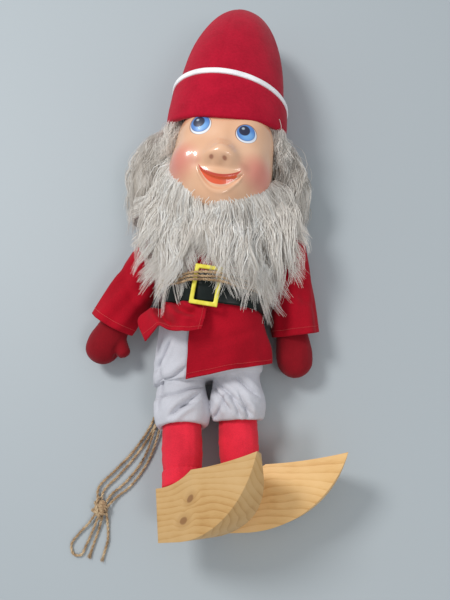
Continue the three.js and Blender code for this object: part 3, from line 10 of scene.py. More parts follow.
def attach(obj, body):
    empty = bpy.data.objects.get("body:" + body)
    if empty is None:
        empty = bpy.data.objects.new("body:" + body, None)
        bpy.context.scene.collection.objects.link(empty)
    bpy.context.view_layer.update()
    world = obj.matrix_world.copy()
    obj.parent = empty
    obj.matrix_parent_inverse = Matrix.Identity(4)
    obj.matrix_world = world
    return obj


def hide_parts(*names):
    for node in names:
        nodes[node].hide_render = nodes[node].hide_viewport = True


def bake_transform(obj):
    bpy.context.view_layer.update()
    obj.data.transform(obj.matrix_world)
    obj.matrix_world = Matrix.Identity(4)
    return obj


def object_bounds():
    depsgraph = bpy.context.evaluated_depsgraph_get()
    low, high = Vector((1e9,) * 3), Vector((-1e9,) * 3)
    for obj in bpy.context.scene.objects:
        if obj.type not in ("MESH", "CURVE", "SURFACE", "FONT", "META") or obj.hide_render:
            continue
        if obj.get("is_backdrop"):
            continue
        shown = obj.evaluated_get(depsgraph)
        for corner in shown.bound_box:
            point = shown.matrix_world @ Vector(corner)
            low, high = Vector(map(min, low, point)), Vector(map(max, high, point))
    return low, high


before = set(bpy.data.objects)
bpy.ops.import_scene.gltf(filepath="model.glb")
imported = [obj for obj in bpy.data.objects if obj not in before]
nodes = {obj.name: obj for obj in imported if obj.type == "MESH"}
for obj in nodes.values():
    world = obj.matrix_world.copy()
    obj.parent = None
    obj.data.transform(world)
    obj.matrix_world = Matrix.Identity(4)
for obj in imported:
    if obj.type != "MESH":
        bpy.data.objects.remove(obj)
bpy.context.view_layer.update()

# The table, the room's light and the camera
# A stuffed doll lies on its back on a plain pale table. The camera looks down on it from a little
# towards its feet, turned slightly, and the light is that of a bright room with a window.
scene = bpy.context.scene
camera_place = Vector((0.07108, -0.25799, 0.6515))
camera_aim = Vector((0.01168, -0.06666, 0.05))
up_hint = Vector((-0.0785, 0.9969, 0))


def add_object(name, data):
    thing = bpy.data.objects.new(name, data)
    scene.collection.objects.link(thing)
    return thing


def opened(mesh):
    """A mesh opened for changes, until it is stored."""
    bm = bmesh.new()
    bm.from_mesh(mesh)
    return bm


def stored(bm, mesh):
    bm.to_mesh(mesh)
    bm.free()
    mesh.shade_smooth()


def made(name, bm, material):
    mesh = bpy.data.meshes.new(name)
    stored(bm, mesh)
    mesh.materials.append(material)
    return add_object(name, mesh)


def new_material(name, roughness, sockets=None):
    material = bpy.data.materials.new(name)
    material.use_nodes = True
    shader = material.node_tree.nodes["Principled BSDF"]
    for key, value in {"Roughness": roughness, **(sockets or {})}.items():
        shader.inputs[key].default_value = value
    return material, material.node_tree, shader


look = (camera_aim - camera_place).normalized()
across = look.cross(up_hint).normalized()
camera_data = bpy.data.cameras.new("camera")
camera_data.sensor_fit = "VERTICAL"
camera_data.sensor_height = 36
camera_data.lens = 34.58
camera_data.clip_start = 0.01
scene.camera = add_object("camera", camera_data)
axes = Matrix((across, across.cross(look), -look)).transposed()
scene.camera.matrix_world = Matrix.Translation(camera_place) @ axes.to_4x4()
scene.view_settings.view_transform = "Standard"

bm = bmesh.new()
bmesh.ops.create_grid(bm, x_segments=1, y_segments=1, size=6)
table = made("table", bm, new_material("table_paint", 0.6, {"Base Color": (0.43, 0.47, 0.49, 1)})[0])
table.location.z = -0.0004
table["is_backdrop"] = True

for name, place, size, watts in (
    ("window", (-0.9, 0.5, 1.5), 0.55, 17),
    ("room", (0.9, -0.9, 1.7), 0.6, 7),
):
    lamp_data = bpy.data.lights.new(name, "AREA")
    lamp_data.shape = "DISK"
    lamp_data.size = size
    lamp_data.energy = watts
    lamp = add_object(name, lamp_data)
    lamp.location = place
    lamp.rotation_euler = Vector(place).to_track_quat("Z", "Y").to_euler()
scene.world = bpy.data.worlds.new("room")
scene.world.use_nodes = True
background = scene.world.node_tree.nodes["Background"]
background.inputs["Color"].default_value = (0.9, 0.95, 1, 1)
background.inputs["Strength"].default_value = 0.55

# Twine: the loose length beside the legs
# Two-strand jute twine, 3 mm thick. It leaves the winding at the doll's waist as four strands, lies on
# the table, is tied in one knot and ends in a loop and two cut ends that have frayed.
BASE = Vector((-1.19, -152.94, 0))
TWINE = 0.003
PLY = 0.27 * TWINE
PLY_OUT = 0.24 * TWINE
PLY_LAY = 0.0095
FRAY = 0.0085
STEP = 0.0011
SPAN_SAMPLES = 24
FIBRES_PER_METRE = 900
BRUSH_FIBRES = 70
CIRCLE = 6.28
LOW = 1.85
HIGH = 5.25
TAIL = {
    "twine_strand_1": [
        (-55.5, 79, 19), (-54.5, 62, 5), (-54, 40, LOW), (-54.4, 8, LOW), (-57, -24, LOW), (-63.5, -50, LOW),
        (-80, -80, LOW), (-98, -102, LOW), (-113, -121, LOW + 0.6), (-110, -138, 5),
    ],
    "twine_strand_2": [
        (-51.7, 79, 15), (-50.7, 62, 4.4), (-50.3, 40, LOW), (-50.6, 8, LOW), (-53.2, -24, LOW),
        (-59.5, -52, LOW), (-75.5, -83, LOW), (-92.5, -106, LOW), (-107, -124, LOW + 0.4), (-107, -140, 5),
    ],
    "twine_strand_3": [
        (-47.9, 79, 12), (-48.4, 61, 8.4), (-52.2, 38, HIGH), (-52.4, 6, HIGH), (-54.6, -26, HIGH),
        (-57, -47, HIGH - 0.6), (-67, -86, LOW + 0.6), (-83.5, -112, LOW), (-99, -128, LOW + 0.4),
        (-104, -141, 5),
    ],
    "twine_strand_4": [
        (-44.1, 79, 9), (-44.9, 61, 5.6), (-48.4, 38, HIGH), (-48.6, 6, HIGH), (-50.8, -26, HIGH),
        (-51.6, -47, HIGH - 0.6), (-61.5, -88, LOW), (-78, -116, LOW), (-93, -130, LOW + 0.6),
        (-101, -141, 6),
    ],
    "twine_loop": [
        (-110, -144, 5), (-118, -157, 3), (-127, -168, LOW), (-134, -180, LOW), (-130, -189, LOW),
        (-122, -189, LOW), (-117.5, -178, LOW), (-112.5, -163, 2.6), (-107.5, -147, 5),
    ],
    "twine_end_1": [(-103.5, -145, 5), (-106, -160, 2.4), (-109, -173, LOW), (-112, -186, LOW)],
    "twine_end_2": [(-100, -145, 5), (-97.5, -158, 2.2), (-95.5, -172, LOW), (-98, -188, LOW)],
}
FAR_ENDS = {"strand": "knot", "loop": "object", "end": "bare"}


def placed(point):
    """A point in millimetres from the doll's crotch at table height, as a point of the scene."""
    return (Vector(point) + BASE) / 1000


def share_of(p, q, start, end, at):
    return (p * (end - at) + q * (at - start)) / (end - start)


def smooth_route(points):
    """The points of a centripetal curve through a route, a step apart."""
    points = [2 * points[0] - points[1], *points, 2 * points[-1] - points[-2]]
    fine = []
    for before, start, end, after in zip(points, points[1:], points[2:], points[3:]):
        spans = ((before, start), (start, end), (end, after))
        t = [0.0]
        for a, b in spans:
            t.append(t[-1] + max((b - a).length, 1e-6) ** 0.5)
        for i in range(SPAN_SAMPLES):
            at = t[1] + (t[2] - t[1]) * i / SPAN_SAMPLES
            a, b, c = [share_of(p, q, t[k], t[k + 1], at) for k, (p, q) in enumerate(spans)]
            a, b = share_of(a, b, t[0], t[2], at), share_of(b, c, t[1], t[3], at)
            fine.append(share_of(a, b, t[1], t[2], at))
    fine.append(points[-2])
    route, left = [fine[0]], STEP
    for a, b in zip(fine, fine[1:]):
        while (b - a).length >= left:
            a = a + (b - a).normalized() * left
            route.append(a)
            left = STEP
        left -= (b - a).length
    if (route[-1] - fine[-1]).length > 1e-5:
        route.append(fine[-1])
    return route


def uneven(x, y, z):
    """Smooth noise from -1 to 1 at a place."""
    return noise.noise((x, y, z))


def length_of(route):
    return sum((b - a).length for a, b in zip(route, route[1:]))


def tubes(name, threads, material, round_sides=0):
    """A mesh of thin tubes: each thread is its points and their radii."""
    data = bpy.data.curves.new(name, "CURVE")
    data.dimensions = "3D"
    data.bevel_depth = 1
    data.bevel_resolution = round_sides
    data.use_fill_caps = True
    for points, thick in threads:
        spline = data.splines.new("POLY")
        spline.points.add(len(points) - 1)
        spline.points.foreach_set("co", [c for p in points for c in (*p, 1)])
        spline.points.foreach_set("radius", thick)
    curve = bpy.data.objects.new(name, data)
    mesh = bpy.data.meshes.new_from_object(curve)
    bpy.data.objects.remove(curve)
    bpy.data.curves.remove(data)
    mesh.name = name
    mesh.shade_smooth()
    mesh.materials.append(material)
    return add_object(name, mesh)


def laid_twine(name, route, seed, fray=0.0):
    """Two plies twisted about a route, with stray fibres, and a frayed brush where the far end is cut."""
    chance = random.Random(seed)
    turn, travelled = chance.random() * CIRCLE, 0.0
    plies = [[], []]
    frames = []
    side = Vector((0, 0, 1))

    def outward(i, angle):
        return frames[i][1] * cos(angle) + frames[i][2] * sin(angle)

    for i, p in enumerate(route):
        ahead = (route[min(i + 1, len(route) - 1)] - route[max(i - 1, 0)]).normalized()
        side = (side - ahead * side.dot(ahead)).normalized()
        frames.append((ahead, side, ahead.cross(side)))
        if i:
            travelled += (p - route[i - 1]).length
        for k, ply in enumerate(plies):
            angle = turn + 2 * pi * travelled / PLY_LAY + k * pi
            place = p + outward(i, angle) * (PLY_OUT * (1 + 0.1 * uneven(*(p * 180))))
            place.z = max(place.z, PLY)
            ply.append(place)
    threads = [(ply, [PLY * (1 + 0.12 * uneven(*(p * 260))) for p in ply]) for ply in plies]
    for _ in range(int(FIBRES_PER_METRE * length_of(route))):
        i = chance.randrange(2, len(route) - 3)
        out = outward(i, chance.random() * CIRCLE)
        lean = frames[i][0] * chance.uniform(-1.5, 1.5)
        start = route[i] + out * 0.4 * TWINE
        reach = chance.uniform(0.0006, 0.0019)
        points = [start, start + (out * 0.35 + lean * 0.7) * reach, start + (out + lean) * reach * 0.9]
        for p in points:
            p.z = max(p.z, 0.0001)
        threads.append((points, [0.00009, 0.00007, 0.00003]))
    for _ in range(BRUSH_FIBRES if fray else 0):
        ahead = frames[-1][0]
        out = outward(-1, chance.random() * CIRCLE)
        start = route[-1] + out * 0.0011 * chance.random() - ahead * 0.002
        reach = fray * chance.uniform(0.6, 1)
        bend = out * chance.uniform(0, 0.3)
        points = [start + (ahead + bend * t) * reach * t for t in (0, 0.35, 0.7, 1)]
        for p in points:
            p.z = max(p.z, 0.00018)
        threads.append((points, [0.0002, 0.00018, 0.00015, 0.00006]))
    return tubes(name, threads, jute, 1)


def add_node(tree, kind, inputs, output=0, **settings):
    """A shader node with its inputs and settings: gives one of its outputs."""
    node = tree.nodes.new("ShaderNode" + kind)
    for key, value in settings.items():
        setattr(node, key, value)
    for key, value in inputs.items():
        if isinstance(value, bpy.types.NodeSocket):
            tree.links.new(value, node.inputs[key])
        else:
            node.inputs[key].default_value = value
    return node.outputs[output]


def calc(tree, operation, *values):
    return add_node(tree, "Math", dict(enumerate(values)), operation=operation)


def object_place(tree):
    return add_node(tree, "TexCoord", {}, "Object")


def mottle(tree, size, detail=2.0):
    """Noise whose blotches are size metres, or have a size along each axis."""
    sizes = size if isinstance(size, tuple) else (size, size, size)
    place = add_node(tree, "Mapping", {"Vector": object_place(tree), "Scale": [1 / s for s in sizes]})
    return add_node(tree, "TexNoise", {"Vector": place, "Scale": 1.0, "Detail": detail})


def weighed(tree, *parts):
    """The sum of values, each times its weight."""
    total = 0.0
    for value, weight in parts:
        total = calc(tree, "MULTIPLY_ADD", value, weight, total)
    return total


def ramp(tree, value, stops):
    """A colour ramp over a value: each stop is (position, linear colour)."""
    color = add_node(tree, "ValToRGB", {"Fac": value})
    elements = color.node.color_ramp.elements
    for element, (position, tint) in zip(elements, (stops[0], stops[-1])):
        element.position, element.color = position, (*tint, 1)
    for position, tint in stops[1:-1]:
        elements.new(position).color = (*tint, 1)
    return color


def colored(tree, shader, value, stops):
    tree.links.new(ramp(tree, value, stops), shader.inputs["Base Color"])


def bumped(tree, shader, height, strength, distance):
    normal = add_node(tree, "Bump", {"Height": height, "Strength": strength, "Distance": distance})
    tree.links.new(normal, shader.inputs["Normal"])


def fitted(piece, body, slot, *parts):
    """A piece that moves with a body in place of the drawn parts; the finish it is given is not used."""
    if body:
        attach(piece, body)
    if parts:
        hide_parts(*parts)
    return piece


jute, tree, shader = new_material("jute", 0.85, {"Sheen Weight": 0.15})
fibres = mottle(tree, 0.0011, 3)
colored(tree, shader, weighed(tree, (fibres, 0.5), (mottle(tree, 0.009, 1), 0.5)), [
    (0.32, (0.17, 0.095, 0.042)), (0.46, (0.4, 0.255, 0.135)), (0.56, (0.56, 0.395, 0.225)),
    (0.68, (0.72, 0.57, 0.37)),
])
bumped(tree, shader, fibres, 0.5, 0.0003)

tail = {}
for seed, (name, points) in enumerate(TAIL.items()):
    route = smooth_route([placed(p) for p in points])
    cut = "end" in name
    tail[name] = (laid_twine(name, route, seed + 6 * cut, FRAY * cut), route)

# The knot: the twine is turned round the bundle three times and tucked through itself
KNOT_TURNS = 3.4
KNOT_POINTS = 34
TUCK = [
    (0.009, -0.004, -0.003), (0.0095, -0.0052, 0.0015), (0.004, -0.0042, 0.0049), (-0.003, -0.0005, 0.0052),
    (-0.0075, 0.003, 0.0032), (-0.0105, 0.0035, -0.002),
]
knot_centre = placed((-107, -141, 7.1))
bundle = Vector((sin(radians(14)), cos(radians(14)), 0))
athwart = Vector((bundle.y, -bundle.x, 0))
wraps = []
for i in range(KNOT_POINTS):
    t = i / (KNOT_POINTS - 1)
    angle = 2 * pi * KNOT_TURNS * t + 2.4
    along = (t - 0.5) * 0.0125 + 0.0022 * sin(angle * 0.5)
    half_width = 0.0077 - 0.0012 * (2 * t - 1) ** 2
    place = knot_centre + bundle * along + athwart * half_width * cos(angle)
    place.z += 0.0046 * sin(angle) - 0.0004
    wraps.append(place)
knot = laid_twine("twine_knot", smooth_route(wraps), 31)
over = [knot_centre + bundle * a + athwart * b + Vector((0, 0, c)) for a, b, c in TUCK]
tuck = laid_twine("twine_tuck", smooth_route(over), 37)
bm = opened(knot.data)
for v in bmesh.ops.create_icosphere(bm, subdivisions=3, radius=1)["verts"]:
    x, y, z = v.co.x * 0.0065, v.co.y * 0.0088, v.co.z * 0.0042
    v.co = knot_centre + bundle * y + athwart * x + Vector((0, 0, z))
bm.from_mesh(tuck.data)
stored(bm, knot.data)
bpy.data.objects.remove(tuck)
fitted(knot, "torso", "twine", "tail_knot")

for name, (piece, route) in tail.items():
    fitted(piece, "torso", "twine", name.replace("twine", "tail"))
    far_end = FAR_ENDS[name.split("_")[1]]
    if far_end == "bare":
        route = [*route, route[-1] + (route[-1] - route[-2]).normalized() * 0.75 * FRAY]

# Stuffing: the trunk, the neck and the head behind the face
# Calico bags filled with fibre and sewn shut, with a round neck that seats in the head.
# Nearly all of it is hidden under the coat, the hair and the hat.


def merged(*names):
    """A copy of drawn parts with their loose triangles joined."""
    bm = bmesh.new()
    for name in names:
        bm.from_mesh(nodes[name].data)
    bmesh.ops.remove_doubles(bm, verts=bm.verts, dist=1e-6)
    return bm


def applied(piece):
    """The piece with its modifiers worked into its mesh."""
    graph = bpy.context.evaluated_depsgraph_get()
    mesh = bpy.data.meshes.new_from_object(piece.evaluated_get(graph))
    old = piece.data
    piece.modifiers.clear()
    piece.data = mesh
    bpy.data.meshes.remove(old)
    mesh.name = piece.name
    mesh.shade_smooth()
    return piece


def stuffed(name, bm, voxel, rounds, material, shape=None):
    """A stuffed cloth form: a drawn form meshed finely and rounded off, then shaped point by point."""
    piece = made(name, bm, material)
    remesh = piece.modifiers.new("even", "REMESH")
    remesh.mode = "VOXEL"
    remesh.voxel_size = voxel
    applied(piece)
    bm = opened(piece.data)
    for _ in range(rounds):
        bmesh.ops.smooth_vert(
            bm, verts=bm.verts, factor=0.5, use_axis_x=True, use_axis_y=True, use_axis_z=True
        )
    bm.normal_update()
    if shape:
        moves = [v.normal * shape(v.co * 1000 - BASE, v.normal) / 1000 for v in bm.verts]
        for v, move in zip(bm.verts, moves):
            v.co += move
    for v in bm.verts:
        v.co.z = max(v.co.z, 0.0001)
    stored(bm, piece.data)
    return piece


def dyed(tree, shader, tone, color, darker, lighter):
    """One dye, darker and lighter by a noise."""
    dark = [c * darker for c in color]
    light = [min(c * lighter, 1) for c in color]
    colored(tree, shader, tone, [(0.38, dark), (0.5, color), (0.62, light)])


def cloth(name, color, roughness, sheen, thread, spread=0.22):
    """Woven cloth: uneven threads both ways, and a soft change of shade over a few centimetres."""
    material, tree, shader = new_material(
        name, roughness, {"Sheen Weight": sheen, "Sheen Roughness": 0.5, "Specular IOR Level": 0.12}
    )
    warp = mottle(tree, (thread, 9 * thread, thread))
    weft = mottle(tree, (9 * thread, thread, thread))
    weave = weighed(tree, (warp, 0.5), (weft, 0.5))
    tone = weighed(tree, (weave, 0.55), (mottle(tree, 0.03), 0.45))
    dyed(tree, shader, tone, color, 1 - spread, 1 + spread)
    bumped(tree, shader, weave, 0.6, 0.00018)
    return material


calico = cloth("calico", (0.687, 0.578, 0.434), 0.9, 0.2, 0.0006)
for name, part, body in (
    ("trunk_bag", "trunk", "torso"), ("neck_bag", "neck", "neck"), ("head_bag", "head_core", "head"),
):
    piece = stuffed(name, merged(part), 0.0025, 6, calico)
    fitted(piece, body, "stuffed_cloth", part)

# Breeches: seat and two legs
# Pale grey cotton knee breeches, loosely filled, gathered over the stockings at the knee. Each leg is
# sewn into the seat at the hip, where it folds.
PELVIS_TILT = radians(12)
# Each crease is a line of points seen from above
CREASES = [
    [(-38, 33), (-46, 16), (-54, 2)],
    [(0, -8), (-25, -19.6), (-52, -27)],
    [(-5, -17), (-18, -32), (-29, -44)],
    [(-20, 5), (-34, -6), (-50, -10)],
    [(5, -6), (17, -21), (28, -34)],
    [(9, -4), (30, -20), (53, -38)],
    [(27, -17), (34, -29), (39, -39)],
    [(30, 2), (44, -8), (56, -16)],
    [(-50, 8), (-44, -18), (-47, -40)],
    [(-33, -46), (-24, -35), (-8, -28)],
    [(8, -44), (16, -33), (22, -14)],
    [(47, -44), (45, -30), (36, -16)],
]


def crease_depth(place, lines, depth, width):
    """The push of creases on a point seen from above: pressed in along each line, raised beside it."""
    push = 0.0
    for line in lines:
        near, share = 1e9, 0.0
        for k, (a, b) in enumerate(zip(line, line[1:])):
            run = Vector(b) - Vector(a)
            t = min(max((place.xy - Vector(a)).dot(run) / run.length_squared, 0), 1)
            away = (place.xy - Vector(a) - run * t).length
            if away < near:
                near, share = away, (k + t) / (len(line) - 1)
        fade = min(1, 4 * share + 0.3, 4 * (1 - share) + 0.3)
        beside = 0.5 * exp(-(((near - 1.9 * width) / width) ** 2))
        push += fade * (beside - exp(-((near / width) ** 2)))
    return depth * push


def breeches_shape(place, normal):
    push = 0.5 + 0.7 * uneven(place.x * 0.05, place.y * 0.04, place.z * 0.05)
    if normal.z > 0.15:
        broad, narrow = [crease_depth(place, CREASES, *size) for size in ((2.4, 3.0), (1.6, 1.2))]
        push += min(1, 3 * (normal.z - 0.15)) * (broad + narrow)
    return push


def cut_off(bm, place, away):
    """Cuts off what lies beyond a plane and closes the cut."""
    cut = bmesh.ops.bisect_plane(
        bm, geom=[*bm.verts, *bm.edges, *bm.faces], plane_co=placed(place), plane_no=away, clear_outer=True
    )["geom_cut"]
    bmesh.ops.contextual_create(bm, geom=[e for e in cut if isinstance(e, bmesh.types.BMEdge)])


cotton = cloth("breeches_cotton", (0.59, 0.585, 0.625), 0.85, 0.05, 0.00055, 0.09)
whole = merged("trunk")
cut_off(whole, (0, 63, 0), (0, 1, 0))
for part in ("breeches_seat", "breeches_leg_right", "breeches_leg_left"):
    whole.from_mesh(nodes[part].data)
bmesh.ops.remove_doubles(whole, verts=whole.verts, dist=1e-6)
whole = stuffed("breeches_cloth", whole, 0.0011, 12, cotton, breeches_shape)
for name, side in (("right", 1), ("left", -1)):
    bm = opened(whole.data)
    cut_off(bm, (0, 0, 0), Vector((cos(PELVIS_TILT), sin(PELVIS_TILT), 0)) * side)
    piece = made("breeches_cloth_" + name, bm, cotton)
    fitted(piece, None, "breeches_cotton", "breeches_leg_" + name, "breeches_seat")
    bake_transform(piece)
bpy.data.objects.remove(whole)

# Stockings
# A tube of red cotton jersey over each stuffed leg. It runs down into the foot, which is glued on top
# of the clog, and is drawn in by one stitched crease at the ankle.
LEGS = {
    "right": {"side": -1, "lean": 7.5, "rise": 7.9, "toe": 38, "level": -8, "roll": 2.5, "slide": 9},
    "left": {"side": 1, "lean": 6, "rise": -3.9, "toe": 10, "level": 4, "roll": 1, "slide": 5},
}
LEG_LENGTH = 108
ANKLE_CREASE = 94
HIP = Vector((30, 0, 33))


def turned(x=0.0, y=0.0, z=0.0):
    """A turn about X, Y or Z in degrees."""
    return (
        Matrix.Rotation(radians(z), 4, "Z") @ Matrix.Rotation(radians(x), 4, "X")
        @ Matrix.Rotation(radians(y), 4, "Y")
    )


def jersey(name, color):
    """Fine knitted cotton: rows of small stitches round the limb, with a soft change of shade."""
    material, tree, shader = new_material(name, 0.85, {"Sheen Weight": 0.1, "Specular IOR Level": 0.12})
    stitch_rows = mottle(tree, (0.0009, 0.0004, 0.0009), 1)
    tone = weighed(tree, (stitch_rows, 0.5), (mottle(tree, (0.02, 0.03, 0.02)), 0.5))
    dyed(tree, shader, tone, color, 0.82, 1.15)
    bumped(tree, shader, stitch_rows, 0.5, 0.00025)
    return material


knit = jersey("stocking_jersey", (0.78, 0.026, 0.052))
legs = {}
clog_places = {}
for name, leg in LEGS.items():
    hip = Matrix.Rotation(PELVIS_TILT, 4, "Z") @ Vector((leg["side"] * HIP.x, 0, HIP.z))
    hip += Vector((2.5 * sin(PELVIS_TILT), 2.5, 0))
    legs[name] = Matrix.Translation(hip) @ turned(x=-leg["rise"], z=leg["lean"])
    clog_places[name] = (
        legs[name] @ Matrix.Translation((0, -LEG_LENGTH, 0)) @ turned(x=-leg["level"])
        @ turned(y=-leg["toe"]) @ turned(z=leg["roll"])
    )
    into_leg = legs[name].inverted()

    def stocking_shape(place, normal):
        here = into_leg @ place
        angle = atan2(here.z, here.x)
        crease = exp(-(((-here.y - ANKLE_CREASE) / 1.1) ** 2)) * (0.8 + 0.2 * sin(26 * angle))
        return 0.45 * uneven(here.x * 0.05, here.y * 0.16, here.z * 0.05) - crease

    drawn = ("stocking_" + name, "foot_" + name)
    piece = stuffed("stocking_cloth_" + name, merged(*drawn), 0.0009, 12, knit, stocking_shape)
    fitted(piece, None, "red_knit", *drawn)
    start, end = [placed(legs[name] @ Vector((0, past - LEG_LENGTH, 0))) for past in (17, 11)]
    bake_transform(piece)

# Clogs
# Each is sawn from a pine plank 45 mm thick: a flat heel, a curved sole and top seen from its side,
# and a far side that curves in to the near side at the toe. The edges are sanded, the wood is bare.
CLOG_WIDTH = 45
HEEL = 24
TOE = (109, 70)
MOUTH = (27, 63)
HEEL_HEIGHT = 50
SIDE_STRAIGHT = 45
ANKLE_DROP = 52
SLICES = 34
# Each knot is its place on the plank and its half sizes; each of its rings is two limits in shares of
# these sizes, a colour and a strength; each plank is the place of its heart and its lightness
KNOTS = {"right": [(33, -20, 4.6, 3.4), (24, -38, 5.2, 3.8)], "left": []}
KNOT_RINGS = [(1.1, 2.6, (0.45, 0.235, 0.075), 0.45), (0.7, 1.15, (0.24, 0.1, 0.032), 0.75)]
PLANKS = {"right": ((0.0, -95.0, 22.0), 1.0), "left": ((0.0, -80.0, 40.0), 1.3)}
PINE = [
    (0.3, (0.67, 0.42, 0.18)), (0.48, (0.62, 0.37, 0.14)), (0.6, (0.54, 0.295, 0.095)),
    (0.74, (0.44, 0.215, 0.062)),
]


def arc(centre, start, end, count):
    """Points of an arc in a plane about a centre, after its first."""
    radius = (Vector(start) - Vector(centre)).length
    a = atan2(start[1] - centre[1], start[0] - centre[0])
    b = atan2(end[1] - centre[1], end[0] - centre[0])
    angles = [a + (b - a) * i / count for i in range(1, count + 1)]
    return [(centre[0] + radius * cos(t), centre[1] + radius * sin(t)) for t in angles]


def tangent_radius(run, rise):
    return (run * run + rise * rise) / (2 * rise)


def stepped(tree, value, low, high, start=0.0, end=1.0):
    inputs = {0: value, 1: low, 2: high, 3: start, 4: end}
    return add_node(tree, "MapRange", inputs, interpolation_type="SMOOTHSTEP")


def laid_over(tree, mask, under, over):
    return add_node(tree, "Mix", {"Factor": mask, 6: under, 7: (*over, 1)}, 2, data_type="RGBA")


def local_place(tree, vector, place, turn, scale):
    """Coordinates in a patch that is placed, turned and sized on the piece."""
    inputs = {"Vector": vector, "Location": place, "Rotation": turn, "Scale": scale}
    return add_node(tree, "Mapping", inputs, vector_type="TEXTURE")


heel_top = (5 - HEEL, HEEL_HEIGHT)
under = tangent_radius(TOE[0] - 2, TOE[1])
top = tangent_radius(TOE[0] - MOUTH[0], TOE[1] - MOUTH[1])
hollow = tangent_radius(MOUTH[0] - heel_top[0], MOUTH[1] - HEEL_HEIGHT)
toe_curve = tangent_radius(TOE[0] - SIDE_STRAIGHT, CLOG_WIDTH)
side_view = [
    (-HEEL, 0), (2, 0), *arc((2, under), (2, 0), TOE, 44), *arc((MOUTH[0], MOUTH[1] + top), TOE, MOUTH, 26),
    *arc((heel_top[0], HEEL_HEIGHT + hollow), MOUTH, heel_top, 18), (-HEEL, HEEL_HEIGHT),
]
for name, leg in LEGS.items():
    pine, tree, shader = new_material("pine_" + name, 0.55)
    turn = clog_places[name].to_euler()
    local = local_place(tree, object_place(tree), placed(clog_places[name].translation), turn, [0.001] * 3)
    warp = {"Vector": local, "Scale": 0.012, "Detail": 2, "Roughness": 0.4}
    warp = add_node(tree, "TexNoise", warp, "Color")
    shift = add_node(tree, "VectorMath", {0: warp, 1: (16, 30, 22)}, operation="MULTIPLY")
    grown = add_node(tree, "VectorMath", {0: local, 1: shift}, operation="ADD")
    knots = []
    for x, y, wide, high in KNOTS[name]:
        around = local_place(tree, grown, (x + 8, y + 15, 0), (0, 0, 0), (wide, high, 400))
        knots.append(add_node(tree, "VectorMath", {0: around}, "Value", operation="LENGTH"))
        push = add_node(tree, "CombineXYZ", {"Y": stepped(tree, knots[-1], 0.5, 3.4, 7.0, 0.0)})
        grown = add_node(tree, "VectorMath", {0: grown, 1: push}, operation="ADD")
    heart, light = PLANKS[name]
    centred = add_node(tree, "Mapping", {"Vector": grown, "Location": heart, "Scale": (0.02, 1, 1)})
    rings = add_node(
        tree, "TexWave", {"Vector": centred, "Scale": 0.06, "Distortion": 0.5, "Detail": 2}, "Fac",
        wave_type="RINGS", rings_direction="X", wave_profile="SAW",
    )
    pores = add_node(tree, "Mapping", {"Vector": local, "Scale": (0.12, 3.2, 3.2)})
    pores = add_node(tree, "TexNoise", {"Vector": pores, "Scale": 1.0, "Detail": 3})
    tone = weighed(tree, (calc(tree, "POWER", rings, 2.4), 0.19), (pores, 0.36), (mottle(tree, 0.03), 0.45))
    color = ramp(tree, tone, [(at, [min(c * light, 0.9) for c in tint]) for at, tint in PINE])
    for away in knots:
        for low, high, tint, strength in KNOT_RINGS:
            color = laid_over(tree, stepped(tree, away, low, high, strength, 0.0), color, tint)
    tree.links.new(color, shader.inputs["Base Color"])
    bumped(tree, shader, pores, 0.3, 0.0002)

    bm = bmesh.new()
    bm.faces.new([bm.verts.new((x + leg["slide"], y - ANKLE_DROP, CLOG_WIDTH / 2)) for x, y in side_view])
    for k in range(1, SLICES):
        cut_at = -HEEL + (TOE[0] + HEEL) * k / SLICES + leg["slide"]
        geometry = [*bm.verts, *bm.edges, *bm.faces]
        bmesh.ops.bisect_plane(bm, geom=geometry, plane_co=(cut_at, 0, 0), plane_no=(1, 0, 0))
    for v in bmesh.ops.extrude_face_region(bm, geom=list(bm.faces))["geom"]:
        if isinstance(v, bmesh.types.BMVert):
            past = v.co.x - leg["slide"] - SIDE_STRAIGHT
            v.co.z = -CLOG_WIDTH / 2
            if past > 0:
                v.co.z += toe_curve - sqrt(max(toe_curve ** 2 - past ** 2, 0))
                v.co.z = min(v.co.z, CLOG_WIDTH / 2 - 0.3)
    bmesh.ops.recalc_face_normals(bm, faces=bm.faces)
    sharp = [e for e in bm.edges if len(e.link_faces) == 2 and e.calc_face_angle() > 0.6]
    bmesh.ops.bevel(
        bm, geom=sharp, offset=1.0, offset_type="OFFSET", affect="EDGES", segments=2, profile=0.5,
        material=-1, clamp_overlap=True,
    )
    for move in (clog_places[name], Matrix.Translation(BASE), Matrix.Scale(0.001, 4)):
        bm.transform(move)
    bmesh.ops.recalc_face_normals(bm, faces=bm.faces)
    piece = made("clog_wood_" + name, bm, pine)
    piece.data.set_sharp_from_angle(angle=radians(38))
    fitted(piece, "clog_" + name, "pine", "clog_" + name)

# Arms with mittens
# One stuffed piece of red jersey each, from the shoulder to a mitten with a thumb.
# The right thumb is short and blunt.
SHOULDER_HEIGHT = 34
SHOULDERS = {
    "right": {"side": -1, "across": 72, "along": 143, "spread": 28},
    "left": {"side": 1, "across": 75.2, "along": 152, "spread": 10.5},
}
THUMB_BASE = Vector((9, -106, 0))
THUMB_WAY = Vector((sin(radians(52)), -cos(radians(52)), 0))
THUMB_FROM = 8
THUMB_AROUND = 9.5
THUMB_SHORTER = 0.36
shoulder = {
    name: Vector((arm["side"] * arm["across"], arm["along"], SHOULDER_HEIGHT))
    for name, arm in SHOULDERS.items()
}


def arm_shape(place, normal):
    return 0.5 * uneven(*(place * 0.07))


